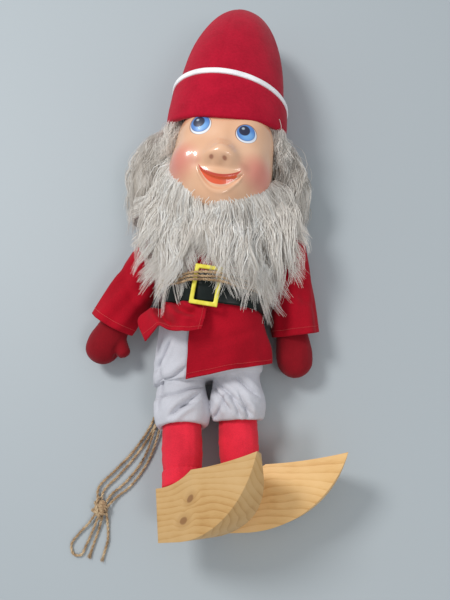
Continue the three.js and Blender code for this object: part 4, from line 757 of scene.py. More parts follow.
right_arm = Matrix.Translation(shoulder["right"]) @ turned(x=5, z=-25)
into_arm = right_arm.inverted()
mitten_cloth = jersey("mitten_jersey", (0.23, 0.0045, 0.0105))
for name in SHOULDERS:
    bm = merged("arm_" + name)
    for v in bm.verts if name == "right" else ():
        here = into_arm @ (v.co * 1000 - BASE) - THUMB_BASE
        along = here.dot(THUMB_WAY)
        if along > THUMB_FROM and (here - THUMB_WAY * along).length < THUMB_AROUND:
            here += THUMB_WAY * (THUMB_FROM - along) * THUMB_SHORTER
            v.co = placed(right_arm @ (here + THUMB_BASE))
    piece = stuffed("arm_cloth_" + name, bm, 0.0012, 14, mitten_cloth, arm_shape)
    fitted(piece, "arm_" + name, "red_knit", "arm_" + name)

# Coat: body and sleeves
# Red cotton twill, hemmed with one row of stitches. The body is a tube round the stuffed trunk, and
# each sleeve is a wide tube set into its armhole, open at the wrist.
# Stations along the trunk: place, half width, and the heights of the back and the front
TRUNK = [
    (0, 58, 2, 68), (36, 57, 2, 84), (82, 52, 2, 100), (120, 50.35, 2, 98), (146, 46.5, 8, 89.2),
    (158, 25, 24, 76),
]
TRUNK_POWER = 2.4
TWILL = 0.0018
COAT_OUT = 2.5
COAT_TOP = 155
ARMHOLE = 0.0258
BELT_LOW = 66.3
BELT_HIGH = 97.7
WAIST_AT = 82
SLEEVE_ROUND = 25
SLEEVE_LENGTH = 96
SLEEVE_END = (26, 24)
SLEEVE_HEM = 252
CAP_SHARE = 0.26


def eased(x, low, high):
    t = min(max((x - low) / (high - low), 0), 1)
    return t * t * (3 - 2 * t)


def mix(a, b, t):
    return a + (b - a) * t


def station_value(stations, along, column):
    """Smooth value of one column of stations, at a place along their first column."""
    i = 0
    while i < len(stations) - 2 and along > stations[i + 1][0]:
        i += 1
    a, b = stations[i], stations[i + 1]
    before, after = stations[max(i - 1, 0)], stations[min(i + 2, len(stations) - 1)]
    span = b[0] - a[0]
    t = min(max((along - a[0]) / span, 0), 1)
    slope_a = (b[column] - before[column]) / (b[0] - before[0]) * span
    slope_b = (after[column] - a[column]) / (after[0] - a[0]) * span
    rise = t * t * (3 - 2 * t)
    return mix(a[column], b[column], rise) + t * (1 - t) ** 2 * slope_a - t * t * (1 - t) * slope_b


def power(value, exponent):
    return copysign(abs(value) ** exponent, value)


def trunk_size(along, out):
    """The trunk's half width, and its middle height and half depth, with a layer outside it."""
    half_width, back, front = [station_value(TRUNK, along, column) for column in (1, 2, 3)]
    return half_width + out, (front + back) / 2, (front - back) / 2 + out


def trunk_point(along, angle, out, floor=0.0):
    """A point of the trunk's skin, or of a layer outside it."""
    half_width, middle, half_depth = trunk_size(along, out)
    x = half_width * power(cos(angle), 2 / TRUNK_POWER)
    z = middle + half_depth * power(sin(angle), 2 / TRUNK_POWER)
    tilt = PELVIS_TILT * (1 - eased(along, 0, BELT_LOW))
    return Vector((x, along + x * tan(tilt), max(z, floor)))


def draped(name, columns, rows, place, inside, thickness, material):
    """Cloth laid by a function of its two shares, in millimetres, thickened towards a point inside."""
    bm = bmesh.new()
    bmesh.ops.create_grid(bm, x_segments=columns, y_segments=rows, size=0.5)
    for v in bm.verts:
        v.co = placed(place(v.co.x + 0.5, v.co.y + 0.5))
    bmesh.ops.remove_doubles(bm, verts=bm.verts, dist=1e-6)
    bmesh.ops.dissolve_degenerate(bm, edges=bm.edges, dist=1e-7)
    bmesh.ops.recalc_face_normals(bm, faces=bm.faces)
    centre = placed(inside)
    facing = sum(f.normal.dot(f.calc_center_median() - centre) * f.calc_area() for f in bm.faces)
    if facing < 0:
        bmesh.ops.reverse_faces(bm, faces=bm.faces)
    piece = made(name, bm, material)
    wall = piece.modifiers.new("wall", "SOLIDIFY")
    wall.thickness = thickness
    wall.offset = -1
    return piece


def stitches(name, routes):
    """Rows of small stitches along routes of points that lie on the cloth."""
    threads = []
    for route in routes:
        for a, b in zip(route[::3], route[2::3]):
            threads.append(([a, (a + b) / 2, b], [0.0002, 0.00032, 0.0002]))
    return tubes(name, threads, thread)


twill = cloth("coat_twill", (0.4, 0.0035, 0.015), 0.85, 0.04, 0.0006, 0.18)
thread = cloth("coat_thread", (0.62, 0.05, 0.05), 0.7, 0.2, 0.0004)


def coat_body_point(u, v):
    along = mix(BELT_LOW, COAT_TOP, v)
    angle = 2 * pi * u
    from_waist = abs(along - WAIST_AT)
    gather = sin(23 * angle) * (1 - eased(from_waist, 14, 34)) * max(sin(angle), 0)
    x, y, z = trunk_point(along, angle, COAT_OUT)
    folds = 1.5 * uneven(x * 0.05, y * 0.022, z * 0.05)
    folds += 0.5 * uneven(x * 0.13, y * 0.06, z * 0.13)
    out = eased(from_waist, 15, 22) * (folds + gather * 0.5)
    return trunk_point(along, angle, COAT_OUT + out, 6.6 * (1 - eased(from_waist, 14, 30)))


body = draped("coat_body_cloth", 150, 52, coat_body_point, (0, 110, 50), TWILL, twill)
balls = []
for name in SHOULDERS:
    bm = bmesh.new()
    bmesh.ops.create_icosphere(bm, subdivisions=4, radius=ARMHOLE)
    bm.transform(Matrix.Translation(placed(shoulder[name])))
    balls.append(made("armhole_" + name, bm, twill))
    hole = body.modifiers.new("armhole_" + name, "BOOLEAN")
    hole.operation = "DIFFERENCE"
    hole.solver = "EXACT"
    hole.object = balls[-1]
applied(body)
for ball in balls:
    bpy.data.objects.remove(ball)
body.data.set_sharp_from_angle(angle=radians(50))
fitted(body, "torso", "coat_cloth", "coat_body")

for name, arm in SHOULDERS.items():
    side = arm["side"]
    place_of = Matrix.Translation(shoulder[name]) @ turned(x=5, z=side * arm["spread"])

    def sleeve_point(u, v):
        angle = 2 * pi * u
        if v < CAP_SHARE:
            lift = mix(radians(-89.9), 0, v / CAP_SHARE)
            along, wide = SLEEVE_ROUND * sin(lift), SLEEVE_ROUND * cos(lift)
            deep = wide
        else:
            t = (v - CAP_SHARE) / (1 - CAP_SHARE)
            wide, deep = [mix(SLEEVE_ROUND, end, t) for end in SLEEVE_END]
            along = SLEEVE_LENGTH * t + 4.5 * eased(t, 0.4, 1) * sin(angle)
        fold = 1.3 * sin(3 * angle + 0.03 * along + side) + 0.9 * sin(7 * angle - 0.05 * along)
        fold -= 2.2 * exp(-(((along - 52 - 16 * cos(angle)) / 6) ** 2)) * max(sin(angle), 0)
        fold *= eased(along, -10, 60)
        x, z = (wide + fold) * cos(angle), (deep + fold) * sin(angle)
        point = place_of @ Vector((x, -along, z))
        point.z = max(point.z, 0.3)
        return point

    inside = place_of @ Vector((0, -45, 0))
    piece = draped("sleeve_cloth_" + name, 84, 60, sleeve_point, inside, TWILL, twill)
    fitted(piece, "arm_" + name, "coat_cloth", "sleeve_" + name)
    hem = []
    for i in range(SLEEVE_HEM + 1):
        point = sleeve_point(i / SLEEVE_HEM, 0.945)
        out = point - place_of @ Vector((0, -91, 0))
        hem.append(placed(point + out.normalized() * 0.25))
    fitted(stitches("sleeve_stitches_" + name, [hem]), "arm_" + name, "coat_cloth")

# Coat: skirt below the belt
# The two fronts and the back hang free from the belt. The right front laps over the left one and has
# been pushed up and out, so that it shows the breeches.
# Rows of points across the turned-up right front, from the belt down
FLAP = [
    [(1, 67, 101), (-16, 67, 100), (-33, 67, 96), (-47, 67, 86), (-56, 68, 71)],
    [(0.7, 60, 103), (-17, 59, 104.3), (-34, 60, 98.5), (-49, 61, 86), (-66, 62, 76)],
    [(-0.5, 49, 104), (-18, 48, 105), (-34, 50, 100), (-50, 51, 90), (-74, 49, 79)],
    [(-3.5, 38.5, 101), (-19, 35, 103), (-36, 37.5, 99), (-49, 41, 93), (-63, 27, 82)],
]
# Each crease is its line, its depth and its width
FLAP_CREASES = [
    ([(-56, 74), (-51, 60), (-42, 48), (-30, 40)], 8.0, 4.2), ([(-36, 70), (-26, 58), (-8, 52)], 4.5, 3.6),
    ([(-4, 66), (-12, 56), (-24, 50)], 1.2, 3),
]
BACK_HEM = 4


def skirt_point(along, angle, out, floor=0.0):
    loose = 1 - eased(along, -4, BELT_LOW)
    fold = 1.2 * (1 + sin(6 * angle + 0.06 * along))
    ripple = 0.9 * loose * sin(11 * angle + 0.5 - 0.02 * along)
    gather = 0.5 * (1 - eased(along, 30, BELT_LOW)) + 0.5
    return trunk_point(along, angle, out + loose * (1 + fold) + ripple * gather, floor)


def front_left_point(u, v):
    angle = radians(mix(2, 102.85, u))
    flare = 1.5 * eased(v, 0.1, 0.8) * (1 - eased(u, 0.0, 0.5))
    folds = 1.3 * eased(v, 0.0, 0.25) * sin(9 * u + 1.4 * v + 0.6) * (1 - 0.5 * v)
    pull = 1.2 * exp(-(((v - 0.16 - 0.5 * u) / 0.09) ** 2)) * eased(u, 0.1, 0.5)
    lift = COAT_OUT + 2.5 * eased(v, 0.1, 0.7) + flare + folds - pull
    hem = -4 + 3 * sin(3 * u) + 11 * (1 - u) ** 3
    return skirt_point(mix(BELT_LOW, hem, v), angle, lift, 1)


def bent(a, b, c, d, t):
    """A smooth curve from b to c, where a and d are the points before and after."""
    curve = (c - a) * t + (2 * a - 5 * b + 4 * c - d) * t * t + (3 * b - a - 3 * c + d) * t ** 3
    return 0.5 * (2 * b + curve)


def bent_line(points, share):
    points = [Vector(p) for p in points]
    points = [2 * points[0] - points[1], *points, 2 * points[-1] - points[-2]]
    at = min(max(share, 0), 1) * (len(points) - 3)
    i = min(int(at), len(points) - 4)
    return bent(*points[i:i + 4], at - i)


def flap_point(u, v):
    point = bent_line([bent_line(row, u) for row in FLAP], v)
    point.z += uneven(point.x * 0.09, point.y * 0.05, 3)
    for line, depth, width in FLAP_CREASES:
        point.z += crease_depth(point, [line], depth, width)
    return point


def back_point(u, v):
    along = mix(BELT_LOW, BACK_HEM, v)
    angle = radians(mix(mix(167.14, 206, eased(v, 0, 0.5)), mix(372.86, 340, v), u))
    return skirt_point(along, angle, 2.8 - 2 * eased(v, 0.3, 1), 0.3 + 5 * eased(along, 52, 64))


def hung(piece, leg, *parts):
    """Cloth that hangs from the belt: it stays with the torso or, where a leg is under it, stays fixed where
    it is.
    """
    fitted(piece, None if leg else "torso", "coat_cloth", *parts)
    if leg:
        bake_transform(piece)


for name, columns, rows, place, inside, flat, leg in (
    ("coat_front_left", 90, 66, front_left_point, (20, 30, 40), (0.115, 0.075), "leg_left"),
    ("coat_front_right", 80, 46, flap_point, (-30, 45, 40), (0.08, 0.038), None),
    ("coat_back", 130, 56, back_point, (0, 40, 45), (0.17, 0.07), None),
):
    piece = draped(name + "_cloth", columns, rows, place, inside, TWILL, twill)
    hung(piece, leg, name)
for name, leg, place, edges in (
    ("left", "leg_left", front_left_point, [[(i / 210, 0.93) for i in range(211)]]),
    ("right", None, flap_point, [[(i / 180, 0.9) for i in range(181)], [(0.05, i / 84) for i in range(85)]]),
):
    routes = [[placed(place(u, v) + Vector((0, 0, 0.3))) for u, v in edge] for edge in edges]
    hung(stitches("hem_stitches_" + name, routes), leg)

# Belt and buckle
# A strip of black coated cloth, 31 mm wide, passed over the middle bar of a moulded yellow buckle.
# It lies on the coat and rides over the bar in front.
BELT_BASE = COAT_OUT + 0.6
STRAP = 0.002


def at_buckle(along, angle, near, far):
    """1 in front beside the buckle's middle, from near it to 0 far from it."""
    x = trunk_point(along, angle, BELT_BASE).x
    return (1 - eased(abs(x + 1), near, far)) * eased(sin(angle), 0.3, 0.8)


def band_point(along, angle, height, floor=0.0):
    over_bar = 4.2 * at_buckle(along, angle, 5, 22.5)
    return trunk_point(along, angle, BELT_BASE + height + over_bar, floor)


def belt_point(u, v):
    angle = 2 * pi * u
    point = band_point(mix(BELT_LOW, BELT_HIGH, v), angle, 2.2, 3.3)
    return point + Vector((0, 0.5 * sin(3 * angle), 0))


vinyl, tree, shader = new_material("belt_vinyl", 0.35, {"Specular IOR Level": 0.25})
grain = mottle(tree, 0.0012, 3)
colored(tree, shader, mottle(tree, 0.012), [(0.35, (0.003, 0.006, 0.005)), (0.65, (0.007, 0.012, 0.01))])
tree.links.new(add_node(tree, "MapRange", {"Value": grain, 3: 0.25, 4: 0.42}), shader.inputs["Roughness"])
bumped(tree, shader, grain, 0.35, 0.0003)
belt = draped("belt_strap", 150, 12, belt_point, (0, WAIST_AT, 50), STRAP, vinyl)
fitted(belt, "torso", "belt_vinyl", "belt")

yellow, tree, shader = new_material("buckle_plastic", 0.3)
colored(tree, shader, mottle(tree, 0.006), [(0.35, (0.74, 0.62, 0.04)), (0.65, (0.88, 0.78, 0.09))])
bumped(tree, shader, mottle(tree, 0.0012), 0.12, 0.0002)
buckle = stuffed("buckle_frame", merged("buckle"), 0.00045, 10, yellow)
fitted(buckle, "torso", "buckle_plastic", "buckle")

# Waist twine
# The same jute twine, wound three times round the belt and lying on the buckle's frame. Its end goes
# under the winding at the doll's right, where the loose strands start.
TURNS = 3
TURN_STEPS = 108
TURNS_AT = 88
TURNS_APART = 3.7


def winding_point(turns):
    angle = radians(232) + 2 * pi * turns
    along = TURNS_AT + TURNS_APART * (turns - TURNS / 2)
    point = band_point(along, angle, 4.7 + 6.3 * at_buckle(along, angle, 14.5, 30.5))
    point.y += 0.7 * uneven(point.x * 0.08, turns * 3, 0)
    if point.z < 6:
        point.z = 1.5
    return point


route = smooth_route([placed(winding_point(TURNS * i / TURN_STEPS)) for i in range(TURN_STEPS + 1)])
fitted(laid_twine("twine_winding", route, 23), "torso", "twine", "waist_twine")

# Face
# A thin moulded shell of glossy plastic, painted: a rounded doll's face with full cheeks, a bulb nose,
# an open smile and wide blue eyes. It is fixed to the stuffed head, and the hat and hair hide its edge.
HEAD = Vector((0, 228, 62))
HEAD_TILT = -6
HEAD_POWER = 2.25
HEAD_WIDE = 57.5
HEAD_FRONT = 65
HEAD_BACK = 52
HEAD_UP = 78
HEAD_DOWN = 60
SHELL = 0.002
SHELL_REACH = 78
SHELL_FLAT_FROM = 58
head_place = Matrix.Translation(HEAD) @ turned(z=HEAD_TILT)
# Each swelling or hollow is across and up from the head's middle, its half sizes and its height
RELIEF = [
    (-36, -8, 14, 13, 8.5), (40, -8, 14, 13, 8.5), (4.8, -7, 9.5, 8, 15.5), (5, -20.5, 10, 2.6, -3.2),
    (-6, -11.5, 5, 4, 3.6), (15.5, -11, 5, 4, 3.6), (-1.5, -15.5, 2.8, 2.2, -2.2),
    (10.5, -15, 2.8, 2.2, -2.2), (5, -27, 24, 11, 6), (7.5, -46, 17, 8, 9), (0, 38, 34, 17, 7.5),
    (-34, 34, 16, 18, 8), (34, 34, 16, 18, 8), (3, 10, 5, 9, 2.5), (-25, 27, 8, 8, 2.4),
    (25, 23, 8, 8, 2.4), (-25, 28, 13, 12, -3), (25, 26, 13, 12, -3), (-21, -18, 4, 6, -1.2),
    (33, -16, 4, 6, -1.2),
]
MOUTH_MIDDLE = 5.75
MOUTH_HALF = 23.3
LIP_LINES = [(2.2, 17.6, -38.6), (2.0, 9.0, -30.0)]
# Each eye is across and up, its half sizes, its turn and the half size of its iris
EYES = [(-23.6, 25.2, 11.4, 11.6, 12, 9.9), (26.6, 20.6, 10.7, 10.2, 8, 9.0)]
BLUSH = (0.68, 0.17, 0.14)


def head_rest(x, y, wide=HEAD_WIDE):
    """What the head's width and length leave for its depth, at a point of its outline or within it."""
    return 1 - abs(x / wide) ** HEAD_POWER - abs(y / (HEAD_UP if y > 0 else HEAD_DOWN)) ** HEAD_POWER


def head_radius(d):
    depth = HEAD_FRONT if d.z > 0 else HEAD_BACK
    return (1 - head_rest(d.x, d.y) + abs(d.z / depth) ** HEAD_POWER) ** (-1 / HEAD_POWER)


def face_relief(x, y):
    push = sum(
        height * exp(-(((x - across) / wide) ** 2 + ((y - up) / high) ** 2) / 2)
        for across, up, wide, high, height in RELIEF
    )
    t = min(abs(x - MOUTH_MIDDLE) / MOUTH_HALF, 1)
    low, high = [rise * t ** bend + base for bend, rise, base in LIP_LINES]
    ends = eased(1 - t, 0, 0.15)
    pressed = eased(y, low - 0.8, low + 1.2) * (1 - eased(y, high - 1.2, high + 0.8)) * ends
    lip = exp(-(((y - low + 2.2) / 1.8) ** 2)) * ends
    return push - 2.8 * pressed + 0.9 * lip


def face_point(u, v):
    away, around = radians(SHELL_REACH * v), 2 * pi * u
    d = Vector((sin(away) * cos(around), sin(away) * sin(around), cos(away)))
    radius = head_radius(d)
    fade = 1 - eased(away, radians(SHELL_FLAT_FROM), radians(SHELL_REACH))
    return head_place @ (d * (radius + fade * face_relief(d.x * radius, d.y * radius)))


face_look, tree, shader = new_material("face_plastic", 0.35, {"Coat Weight": 0.7, "Coat Roughness": 0.1})
face_map = local_place(tree, object_place(tree), placed(HEAD), (0, 0, radians(HEAD_TILT)), [0.001] * 3)


def spot(across, up, wide, high, turn, soft, keep=1.0):
    """A painted oval: 1 inside and 0 outside, with an edge as soft as a share of its size."""
    moved = local_place(tree, face_map, (across, up, 60), (0, 0, radians(turn)), (wide, high, 1000))
    away = add_node(tree, "VectorMath", {0: moved}, "Value", operation="LENGTH")
    return calc(tree, "MULTIPLY", stepped(tree, away, 1 + soft, 1 - soft), keep)


def painted(under, mask, over, strength=1.0):
    """One layer of paint over another."""
    return laid_over(tree, calc(tree, "MULTIPLY", mask, strength), under, over)


def spots(under, rows, keep=1.0):
    """Painted ovals over what is there: each is its place, its colour and its strength."""
    for place, color, strength in rows:
        under = painted(under, spot(*place, keep), color, strength)
    return under


skin = ramp(
    tree, add_node(tree, "TexNoise", {"Vector": face_map, "Scale": 0.04, "Detail": 1}),
    [(0.3, (0.79, 0.44, 0.255)), (0.7, (0.84, 0.5, 0.31))],
)
skin = spots(skin, [((-41, -16, 17, 16, 0, 0.8), BLUSH, 0.75), ((47, -17, 15, 15, 0, 0.8), BLUSH, 0.75)])
for across, up, wide, high, turn, iris in EYES:
    rim = (across - 0.3, up + 0.4, wide + 0.7, high + 0.7, turn, 0.05)
    skin = spots(skin, [(rim, (0.13, 0.03, 0.025), 0.9)])
    white = spot(across, up, wide, high, turn, 0.04)
    skin = painted(skin, white, (0.8, 0.83, 0.88))
    x, y = across - 0.6, up + 1.6
    skin = spots(skin, [
        ((x, y, iris + 0.6, iris + 0.6, 0, 0.05), (0.02, 0.06, 0.22), 1),
        ((x, y, iris, iris, 0, 0.06), (0.07, 0.22, 0.58), 1),
        ((x + 2.5, y - 3.5, 6.2, 4.4, 25, 0.6), (0.2, 0.46, 0.82), 0.8),
        ((x - 1.8, y + 1.6, 0.65 * iris, 0.63 * iris, 0, 0.1), (0.005, 0.01, 0.045), 1),
        # A painted highlight: a pale glint at each pupil's upper left
        ((x - 3.4, y + 3.6, 1.5, 1.3, 0, 0.5), (0.6, 0.68, 0.75), 0.7),
    ], white)
to_side, to_top, to_front = [add_node(tree, "SeparateXYZ", {"Vector": face_map}, axis) for axis in "XYZ"]
t = calc(tree, "ADD", to_side, -MOUTH_MIDDLE)
t = calc(tree, "ABSOLUTE", calc(tree, "MULTIPLY", t, 1 / MOUTH_HALF))
low_line, high_line = [
    calc(tree, "MULTIPLY_ADD", calc(tree, "POWER", t, bend), rise, base) for bend, rise, base in LIP_LINES
]
over_low = calc(tree, "SUBTRACT", to_top, low_line)
under_high = calc(tree, "SUBTRACT", high_line, to_top)
front = stepped(tree, to_front, 30, 35)


def between(low, high):
    """The mouth's area, from its lower line to its upper line."""
    inside = calc(tree, "MULTIPLY", stepped(tree, over_low, *low), stepped(tree, under_high, *high))
    return calc(tree, "MULTIPLY", inside, front)


opening = between((-0.2, 0.5), (-0.4, 0.4))
skin = painted(skin, between((-1.1, -0.5), (0.0, 0.6)), (0.8, 0.46, 0.34), 0.6)
skin = painted(skin, opening, (0.79, 0.1, 0.025))
# Painted shade under the upper lip: the open mouth is darker along its upper edge
deep = calc(tree, "MULTIPLY", opening, stepped(tree, under_high, 3.2, 1.2))
skin = painted(skin, deep, (0.45, 0.03, 0.015), 0.75)
# Painted shade in the smile creases at the mouth's corners, in a dark pink
skin = spots(skin, [((across, -17.5, 5, 3.2, 0, 0.9), (0.6, 0.24, 0.16), 0.5) for across in (-20, 31.5)])
# Painted shade in the nostrils' hollows
skin = spots(skin, [((across, -16.6, 2.2, 1.3, 0, 0.5), (0.35, 0.1, 0.05), 0.75) for across in (-3, 11)])
tree.links.new(skin, shader.inputs["Base Color"])
bumped(tree, shader, mottle(tree, 0.02, 1), 0.08, 0.001)
face = draped("face_shell", 220, 128, face_point, HEAD, SHELL, face_look)
fitted(face, "head", "face_plastic", "face_mask")

# Hat
# Thick pressed felt, sewn as a cone with one seam up the front. The brim is turned up into a cuff, and
# a white braid lies round the cuff's upper edge.
BRIM_AT = 289
BRAID_AT = 323
CROWN_LENGTH = 182
CROWN_RADIUS = 64.5
CROWN_HEIGHT = 69
CROWN_FLATTER = 0.945
CROWN_POWER = 2.46
TIP_HEIGHT = 52
FELT = 0.003
CUFF_SHARE = 0.2
# The outline of the rolled cuff, as shares of the way up and distances out from the crown
CUFF = [
    (0.5, 0.3), (0.12, -1.5), (0.03, -5.5), (-0.04, -3.5), (-0.07, 1.5), (-0.02, 4.9), (0.12, 5.8),
    (0.35, 6.0), (0.7, 5.5), (0.94, 4.9), (0.99, 2.8), (0.97, 0.3),
]
# The outline of the braid, along the crown and out from it
BRAID = [(-0.6, 2.6), (-0.4, 5.9), (5.2, 5.2), (6.2, 0.8)]


def crown_point(along, angle, out):
    t = min(max((along - BRIM_AT) / CROWN_LENGTH, 0), 1)
    radius = CROWN_RADIUS * sqrt(1 - t ** CROWN_POWER)
    height = mix(CROWN_HEIGHT, TIP_HEIGHT, t * t) + (CROWN_FLATTER * radius + out) * sin(angle)
    return Vector((5 * t + (radius + out) * cos(angle), along, height))


def hat_edge(at, lean, dip, angle, out):
    flat = crown_point(at, angle, out)
    dipped = (flat.z - CROWN_HEIGHT) * tan(radians(dip))
    return crown_point(at + flat.x * tan(radians(lean)) - dipped, angle, out)


def brim_point(angle, out):
    return hat_edge(BRIM_AT, -3.2, 20, angle, out)


def stripe_point(angle, out):
    return hat_edge(BRAID_AT, -8.2, 4, angle, out)


def hat_skin(u, v):
    angle = 2 * pi * u
    if v < CUFF_SHARE:
        return brim_point(angle, 0).lerp(stripe_point(angle, 0), mix(0.06, 1, v / CUFF_SHARE))
    t = (v - CUFF_SHARE) / (1 - CUFF_SHARE)
    along = mix(stripe_point(angle, 0).y, BRIM_AT + CROWN_LENGTH, sin(t * pi / 2))
    seam = exp(-((remainder(angle - radians(96), 2 * pi) / 0.035) ** 2))
    wave = 0.7 * uneven(cos(angle) * 1.5, along * 0.025, sin(angle) * 1.5)
    fade = eased(t, 0.02, 0.12) * (1 - eased(t, 0.86, 1))
    return crown_point(along, angle, (wave - 0.7 * seam) * fade)


def felt(name, color, fibre=0.0007):
    material, tree, shader = new_material(
        name, 0.95, {"Sheen Weight": 0.12, "Sheen Roughness": 0.4, "Specular IOR Level": 0.08}
    )
    height = weighed(tree, (mottle(tree, fibre, 4), 0.5), (mottle(tree, fibre * 4, 3), 0.5))
    tone = weighed(tree, (height, 0.6), (mottle(tree, 0.025), 0.4))
    dyed(tree, shader, tone, color, 0.84, 1.14)
    bumped(tree, shader, height, 0.8, 0.0005)
    return material


def closed_line(points, share):
    """A smooth closed curve through points."""
    at = share * len(points)
    return bent(*[Vector(points[(int(at) + k) % len(points)]) for k in (-1, 0, 1, 2)], at - int(at))


def cuff_point(u, v):
    angle = 2 * pi * u
    share, out = closed_line(CUFF, v)
    wave = 0.5 * uneven(cos(angle) * 2, share, sin(angle) * 2)
    point = brim_point(angle, out + (wave if out > 3 else 0)).lerp(stripe_point(angle, out), share)
    point.z = max(point.z, 0.2)
    return point


def braid_point(u, v):
    angle = 2 * pi * u
    shift, out = closed_line(BRAID, v)
    wave = 0.25 * uneven(cos(angle) * 6, shift, sin(angle) * 6)
    point = stripe_point(angle, out + wave)
    return Vector((point.x, point.y + shift, max(point.z, 0.3)))


red_felt = felt("red_felt", (0.44, 0.0075, 0.028))
white_felt = felt("white_braid", (0.92, 0.9, 0.91), 0.0005)
crown = draped("hat_felt", 128, 90, hat_skin, (2, 380, 60), FELT, red_felt)
for v in crown.data.vertices:
    v.co.z = max(v.co.z, 0.0002)
fitted(crown, "head", "felt", "hat_crown")
for name, columns, rows, place, material, slot, part in (
    ("hat_cuff_felt", 160, 54, cuff_point, red_felt, "felt", "hat_cuff"),
    ("hat_braid", 200, 24, braid_point, white_felt, "white_trim", "hat_stripe"),
):
    piece = draped(name, columns, rows, place, (2, 300, 60), 0.001, material)
    piece.modifiers.clear()
    bm = opened(piece.data)
    bmesh.ops.recalc_face_normals(bm, faces=bm.faces)
    stored(bm, piece.data)
    fitted(piece, "head", slot, part)

# Hair and beard
# Long wavy grey mohair, glued under the hat's brim and round the face's lower edge. It lies in clumps
# that curl at their tips, beside the head down to the shoulders and over the coat down to the belt.
# Stations along the side hair: place, inner and outer edge, and lower and upper edge
HAIR = {
    "right": [
        (178, 68, 106, 8, 48), (200, 60, 112, 2, 64), (225, 54, 114, 1.5, 70), (250, 52, 113, 1.5, 69),
        (276, 50, 108, 1.5, 63), (298, 50, 96, 3, 58), (315, 54, 76, 14, 46),
    ],
    "left": [
        (176, 66, 97, 8, 48), (200, 58, 99, 2, 66), (228, 54, 95, 1.5, 72), (252, 52, 91, 1.5, 70),
        (274, 50, 84, 1.5, 64), (292, 50, 75, 6, 58),
    ],
}
# The line along the face's lower edge where the beard is glued on, and the hem that it hangs to
FACE_LINE = [
    (-56, 14), (-54, -3), (-45, -20), (-33, -30.5), (-18, -38), (-2, -42.5), (14, -43.5), (30, -38.5),
    (44, -28), (55, -13), (60, 4),
]
BEARD_HEM = [
    (-92, 172), (-90, 138), (-83, 108), (-72, 84), (-59, 66), (-41, 57), (-27, 78), (-14, 108), (-2, 98),
    (14, 76), (32, 66), (52, 58), (68, 60), (80, 82), (89, 116), (94, 152),
]
BEARD_WIDE = 59.5
GUIDE_STEPS = 12
mohair, tree, shader = new_material(
    "mohair", 0.42, {"Sheen Weight": 0.5, "Sheen Roughness": 0.35, "Specular IOR Level": 0.5}
)
shade = add_node(tree, "Attribute", {}, "Fac", attribute_name="shade")
colored(tree, shader, weighed(tree, (shade, 0.88), (mottle(tree, (0.004, 0.02, 0.004)), 0.2)), [
    (0.05, (0.32, 0.28, 0.235)), (0.35, (0.66, 0.6, 0.53)), (0.62, (0.94, 0.89, 0.82)),
    (0.9, (0.97, 0.955, 0.92)),
])


def set_shade(piece, shades):
    """Gives the points of a piece their shades, and a middle one to those that are left."""
    shades.extend([0.5] * (len(piece.data.vertices) - len(shades)))
    piece.data.attributes.new("shade", "FLOAT", "POINT").data.foreach_set("value", shades)


def guide_line(point_at):
    """The points that a lock follows, from its root to its tip."""
    return [placed(point_at(k / GUIDE_STEPS)) for k in range(GUIDE_STEPS + 1)]


def locks(name, guides, strands, spread, thick, seed, tip_share=0.35, bright=0.5, curly=1.0):
    """Clumped wavy hair: strands follow each guide's points, draw together and curl at the tip. Each lock is
    painted lighter on top and on its wave crests, and darker below.
    """
    chance = random.Random(seed)
    threads = []
    shades = []
    for points in guides:
        last = len(points) - 1
        clump_shade = bright + chance.uniform(-0.14, 0.14)
        turn = chance.random() * CIRCLE
        curl = chance.choice((-1, 1)) * chance.uniform(0.4, 1)
        ahead = (points[-1] - points[0]).normalized()
        side = ahead.cross(Vector((0, 0, 1))).normalized()
        up = side.cross(ahead)
        for _ in range(strands):
            angle = chance.random() * CIRCLE
            reach = spread * sqrt(chance.random())
            end = chance.uniform(0.84, 1.0)
            own = chance.uniform(-0.25, 0.25)
            tint = clump_shade + chance.uniform(-0.06, 0.06)
            stray = 2.2 if chance.random() < 0.05 else 1
            line, radii = [], []
            for k in range(last + 1):
                t = k / last
                at = t * end * last
                i = min(int(at), last - 1)
                tight = mix(0.25, 1.0, eased(t, 0, 0.22)) * mix(1.0, tip_share, eased(t, 0.35, 0.95))
                bunch = reach * tight * stray
                a = angle + 2.2 * t * curl
                wave = 0.28 * spread * eased(t, 0.15, 0.7)
                sideways = bunch * 1.25 * cos(a) + wave * sin(14 * t + turn + own)
                sideways += curl * curly * spread * eased(t, 0.68, 1.0) ** 2
                upwards = bunch * 0.55 * sin(a) + wave * cos(13 * t + turn + own)
                point = points[i].lerp(points[i + 1], at - i) + side * sideways + up * upwards
                point.z = max(point.z, 0.0006)
                line.append(point)
                radii.append(thick * mix(1.0, 0.3, eased(t, 0.6, 1)))
                # Painted light and shade on top of the strand's own tone: lighter on the lock's upper side
                # and on its wave crests, darker on its underside
                lit = tint + 0.17 * sin(a) + 0.12 * cos(15 * t + turn)
                shades.extend([min(max(lit, 0.03), 1)] * 4)
            threads.append((line, radii))
    piece = tubes(name, threads, mohair)
    set_shade(piece, shades)
    return piece


bm = merged("beard")
beard_skin = BVHTree.FromBMesh(bm)
bm.free()
roots = []
for x, y in FACE_LINE:
    level = max(head_rest(x, y, BEARD_WIDE), 0.012)
    z = HEAD_FRONT * level ** (1 / HEAD_POWER) + max(0, 8 - 0.012 * (x - 8) ** 2)
    roots.append(head_place @ Vector((x, y, z)))


def chest(x, y):
    """The height of the coat and belt under the beard."""
    half_width, middle, half_depth = trunk_size(min(y, 158), COAT_OUT + 5 * (1 - eased(y, 100, 116)))
    rise = (1 - min(abs(x) / half_width, 1) ** TRUNK_POWER) ** (1 / TRUNK_POWER)
    return max(middle + half_depth * rise, 60)


def bowed(start, middle, end, t):
    return start * (1 - t) ** 2 + middle * 2 * t * (1 - t) + end * t * t


def beard_tip(share, reach, root):
    return root.xy.to_3d().lerp(bent_line([(*p, 0) for p in BEARD_HEM], share), reach)


